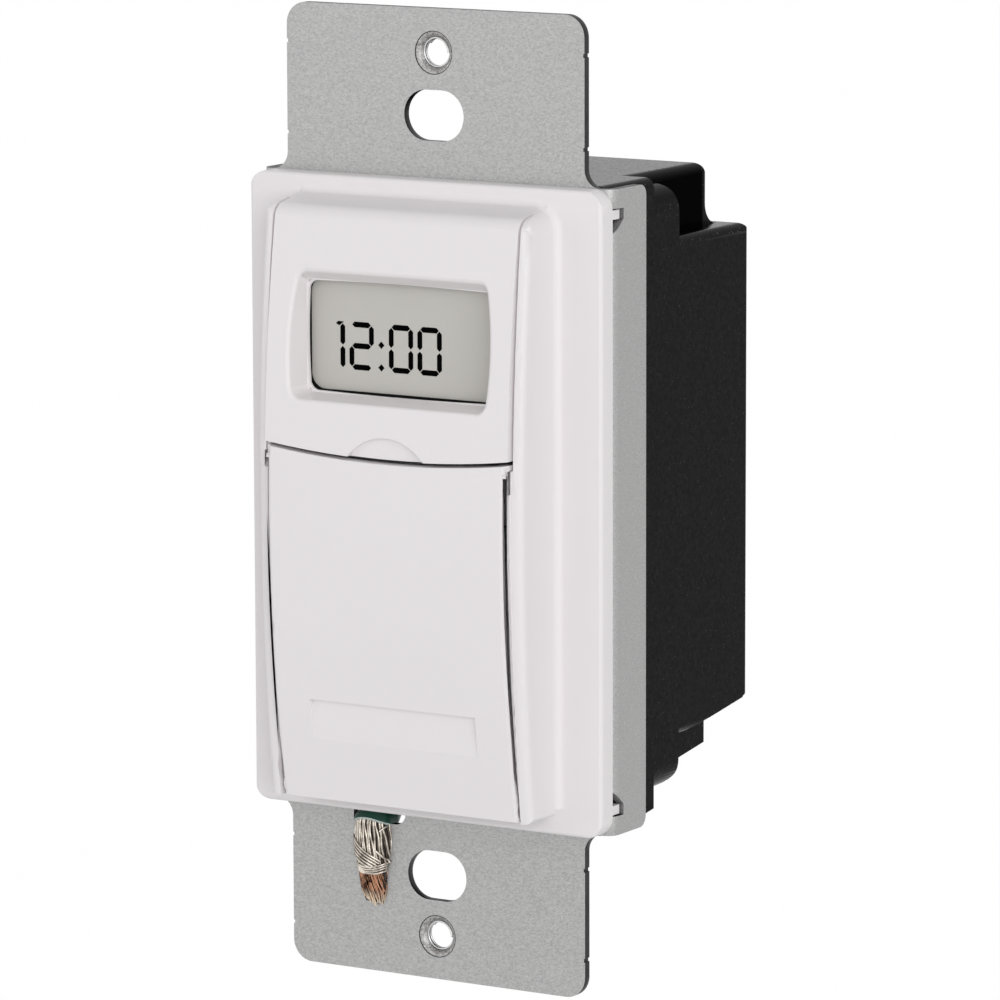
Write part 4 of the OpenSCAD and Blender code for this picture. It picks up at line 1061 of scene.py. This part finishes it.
def make_bundle_core():
    """A dark body under the strands that shows between them: painted shade in the gaps of the bundle."""
    across_steps = 14
    below_strands = 0.34
    foot = 0.6
    foot_lift = 0.03
    runs = [1.5 + 0.3 * k for k in range(35)]
    spots = [0.93 * (-1 + 2 * k / across_steps) for k in range(across_steps + 1)]
    shape = bmesh.new()
    rows = []
    for run in runs:
        points = [bundle_point(run, spot, -below_strands) for spot in spots]
        for spot in (foot, -foot):
            side = bundle_rise(run) * math.sqrt(1 - spot * spot)
            points.append(bundle_point(run, spot, foot_lift - side))
        rows.append([shape.verts.new(point * MM) for point in points])
    join_rows(shape, rows)
    shape.faces.new(rows[0])
    shape.faces.new(list(reversed(rows[-1])))
    face_out(shape)
    add_shape("strand_core", shape, "strand_gap_shade", HOUSING_BODY, ["ground_strands"])


def hood_point(run, across, depth):
    """Point of the insulation's end: along the bundle, across it, and depth below its outside."""
    run *= 1.0 - HOOD_ARCH * (1.0 - across * across)
    rise = (HOOD_RISE - depth) * math.sqrt(max(0.0, 1.0 - across * across))
    return over_bend(LEAD_X + across * (HOOD_HALF - depth), run, rise)


def make_lead_hood():
    """The cut end of the insulation, arched over the strands where they leave the notch."""
    across_steps = 20
    runs = [HOOD_STEP * k for k in range(HOOD_ROWS)]
    spots = [-1 + 2 * k / across_steps for k in range(across_steps + 1)]
    shape = bmesh.new()
    rows = []
    for run in runs:
        points = [hood_point(run, spot, 0.0) for spot in spots]
        points += [hood_point(run, spot, HOOD_WALL) for spot in reversed(spots)]
        rows.append([shape.verts.new(point * MM) for point in points])
    join_rows(shape, rows)
    count = len(rows[0])
    for row in (rows[0], rows[-1]):
        for k in range(across_steps):
            shape.faces.new((row[k], row[k + 1], row[count - 2 - k], row[count - 1 - k]))
    face_out(shape)
    add_shape("lead_hood", shape, "green", HOUSING_BODY)
    rng = random.Random(17)
    rim_steps = 32
    rim = []
    for k in range(rim_steps + 1):
        end = runs[-1] + rng.uniform(-0.03, 0.05)
        rim.append(hood_point(end, -1 + 2 * k / rim_steps, 0.45 * HOOD_WALL))
    sweep("lead_cut_rim", [rim], 0.17, 8, "pale_cut")


def strand_taper(share):
    """A strand's ends are drawn in a little."""
    return min(1.0, 0.6 + 5 * share, 0.6 + 5 * (1 - share))


def lead_taper(share):
    """The insulation is drawn in towards the notch, over its first half."""
    return 1.0 - 0.18 * max(0.0, 1 - share / 0.5)


def make_ground_lead():
    rng = random.Random(41)
    overlap = 0.25
    route = smooth_route([(LEAD_X, y, z) for y, z in LEAD_ROUTE], 5)
    out = (route[0] - route[1]).normalized()
    route = [route[0] + out * overlap] + route
    sweep(
        "lead_insulation", [route], LEAD_R, 28, "green", ["ground_lead"],
        swell=lead_taper)
    make_lead_hood()
    make_bundle_core()
    tinned = laid_strands(rng, 14, 1.4, TAIL_START, twist=0.3, lift=-0.06, spread=0.97)
    tinned += crossing_strands(rng) + wrapping_strands(rng) + loose_ends()
    sweep("tinned_strands", tinned, 0.125, 8, "tinned", swell=strand_taper)
    # The deeper inner strands take the darkened tin: painted shade in the gaps of the bundle
    inner = laid_strands(rng, 13, 1.4, TAIL_START - 0.2, twist=0.2, lift=-0.2, spread=0.93)
    sweep("inner_strands", inner, 0.14, 8, "shaded_inner_tin", swell=strand_taper)
    tail = laid_strands(rng, 13, TAIL_START - 0.2, TAIL_END, twist=0.42, lift=-0.08, spread=0.98)
    tail += laid_strands(rng, 9, TAIL_START - 0.2, TAIL_END - 0.4, twist=0.62, lift=0.05, spread=0.8)
    sweep("copper_tail", tail, 0.1, 8, "copper", swell=strand_taper)


# Threads in the two wall-plate screw holes

def round_hole(radius, turn, depth, height):
    """Point at a radius from a plate hole's axis, by a turn, a depth and the hole's height."""
    angle = 2 * math.pi * turn
    return radius * math.cos(angle), depth, height + radius * math.sin(angle)


def make_threads():
    """A thread in each plate hole, and a dark line of painted shade round its lead-in."""
    steps = 119
    rim_steps = 64
    start = STRAP_FRONT + 0.5
    rim_depth = STRAP_FRONT + 0.03
    threads = []
    rims = []
    for height in (PLATE_HOLE_Z, -PLATE_HOLE_Z):
        turns = [THREAD_TURNS * k / steps for k in range(steps + 1)]
        threads.append([round_hole(THREAD_R, turn, start + THREAD_PITCH * turn, height) for turn in turns])
        rims.append([round_hole(HOLE_RIM_R, k / rim_steps, rim_depth, height) for k in range(rim_steps)])
    sweep("hole_threads", threads, 0.13, 6, "screw", swell=strand_taper)
    # The rim rings take the near-black sheared-edge finish: a painted shade line round each lead-in
    sweep("hole_rims", rims, 0.05, 8, "shaded_cut_steel", closed=True)


# Display

def rounded_loop(half_w, half_h, radius, steps=6):
    """Points of a rectangle with round corners, anticlockwise in X and Z."""
    points = []
    for corner, (sx, sz) in enumerate(((1, 1), (-1, 1), (-1, -1), (1, -1))):
        for k in range(steps + 1):
            angle = (corner + k / steps) * math.pi / 2
            points.append((sx * (half_w - radius) + radius * math.cos(angle),
                           sz * (half_h - radius) + radius * math.sin(angle)))
    return points


def bowed_loop(half_w, half_h, radius):
    """Points of a rectangle with round corners and sides that bow out in the middle."""
    corners = rounded_loop(half_w, half_h, radius)
    points = []
    for (x, z), (next_x, next_z) in zip(corners, corners[1:] + corners[:1]):
        parts = max(1, round(math.hypot(next_x - x, next_z - z)))
        for k in range(parts):
            points.append((x + (next_x - x) * k / parts, z + (next_z - z) * k / parts))
    bow_x = WINDOW_BOW[0] / half_w
    bow_z = WINDOW_BOW[1] / half_h
    return [
        (x * (1.0 - bow_x * (z / half_h) ** 2), z * (1.0 - bow_z * (x / half_w) ** 2)) for x, z in points]


def window_ring(inner, outer, front, back):
    """A closed ring round the window, between two outlines and two depths."""
    shape = bmesh.new()
    rings = []
    for loop, depth in ((inner, front), (outer, front), (outer, back), (inner, back)):
        rings.append([shape.verts.new((x * MM, depth, (z + WINDOW_CENTRE) * MM)) for x, z in loop])
    join_rows(shape, rings + rings[:1])
    face_out(shape)
    return shape


def make_window_lip():
    """The window's edge with its corners rounded: a thin skin over the wall that is thick in the corners."""
    skin = 0.02
    front = (WINDOW_BACK - WINDOW_WALL + 0.03) * MM
    back = (WINDOW_BACK - skin) * MM
    inner = bowed_loop(WINDOW_HALF[0] - skin, WINDOW_HALF[1] - skin, WINDOW_ROUND)
    outer = [(x * 1.02, z * 1.04) for x, z in inner]
    shape = window_ring(inner, outer, front, back)
    round_edges(shape, width=0.1 * MM, segments=2, least_angle=50.0)
    add_shape("window_lip", shape, "white", HOUSING_BODY)


def make_shadow_ring():
    """A black ring between the window's wall and the display glass: painted shadow that darkens the gap
    round the display, with its opening raised so that more of it shows along the bottom.
    """
    front = (WINDOW_BACK + 0.02) * MM
    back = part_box("lcd_glass")[0][1] - 0.005 * MM
    # The opening is raised so that the painted shadow shows wider along the bottom edge
    raised = 0.18
    margin = 0.68
    opening = rounded_loop(WINDOW_HALF[0] + 0.05, WINDOW_HALF[1] - 0.06, 1.7)
    inner = [(x, z + raised) for x, z in opening]
    outer = rounded_loop(WINDOW_HALF[0] + margin, WINDOW_HALF[1] + margin, 1.2)
    shape = window_ring(inner, outer, front, back)
    add_shape("display_shadow_ring", shape, "painted_gap_shadow", HOUSING_BODY)


def segment(start, end):
    """Outline of one display segment from start to end, with pointed ends, in X and Z millimetres."""
    a = Vector(start)
    b = Vector(end)
    along = (b - a).normalized()
    side = Vector((-along.y, along.x)) * SEGMENT_WIDTH / 2
    a = a + along * SEGMENT_GAP
    b = b - along * SEGMENT_GAP
    tip = along * SEGMENT_WIDTH / 2
    return [a, a + tip + side, b - tip + side, b, b - tip - side, a + tip - side]


def digit(lit, left, right, bottom, top):
    """Outlines of a seven-segment digit; lit names its segments a to g."""
    middle = (bottom + top) / 2
    ends = {
        "a": ((left, top), (right, top)), "b": ((right, top), (right, middle)),
        "c": ((right, middle), (right, bottom)), "d": ((left, bottom), (right, bottom)),
        "e": ((left, middle), (left, bottom)), "f": ((left, top), (left, middle)),
        "g": ((left, middle), (right, middle)),
    }
    return [segment(*ends[name]) for name in lit]


def colon_dot(height):
    """Outline of one dot of the colon, a small square on its corner."""
    middle = -3.14
    half = 0.4
    quarters = [k * math.pi / 2 for k in range(4)]
    return [Vector((middle + half * math.cos(q), height + half * math.sin(q))) for q in quarters]


def make_digits():
    """The time on the display, in segments that stand a little before the glass."""
    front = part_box("lcd_glass")[0][1] - INK_DEPTH * MM
    flag = [(-8.92, 19.33), (-8.5, 19.11), (-7.86, 19.56), (-8.59, 19.59)]
    outlines = [[Vector(corner) for corner in flag]]
    outlines += digit("bc", -8.04, -8.04, DIGIT_BOTTOM - 0.2, DIGIT_TOP + 0.08)
    outlines += digit("abged", -6.89, -4.39, DIGIT_BOTTOM, DIGIT_TOP)
    outlines += digit("abcdef", -1.88, 0.59, DIGIT_BOTTOM, DIGIT_TOP)
    outlines += digit("abcdef", 1.74, 4.20, DIGIT_BOTTOM, DIGIT_TOP)
    outlines += [colon_dot(17.3), colon_dot(14.85)]
    shape = bmesh.new()
    for outline in outlines:
        rim = [shape.verts.new((p.x * MM, front, p.y * MM)) for p in outline]
        face = shape.faces.new(rim)
        face.normal_update()
        if face.normal.y > 0:
            face.normal_flip()
        made = bmesh.ops.extrude_face_region(shape, geom=[face])
        moved = [item for item in made["geom"] if isinstance(item, bmesh.types.BMVert)]
        bmesh.ops.translate(shape, verts=moved, vec=(0, INK_DEPTH * MM, 0))
    face_out(shape)
    add_shape("display_digits", shape, "ink", HOUSING_BODY)


bpy.context.scene.view_settings.view_transform = "Standard"
make_camera()
make_floor()
make_world()
make_lights()
make_bezel()
make_door()
make_housing()
make_strap()
make_controls()
finish_nodes()
make_window_lip()
make_shadow_ring()
make_digits()
make_ground_lead()
make_threads()
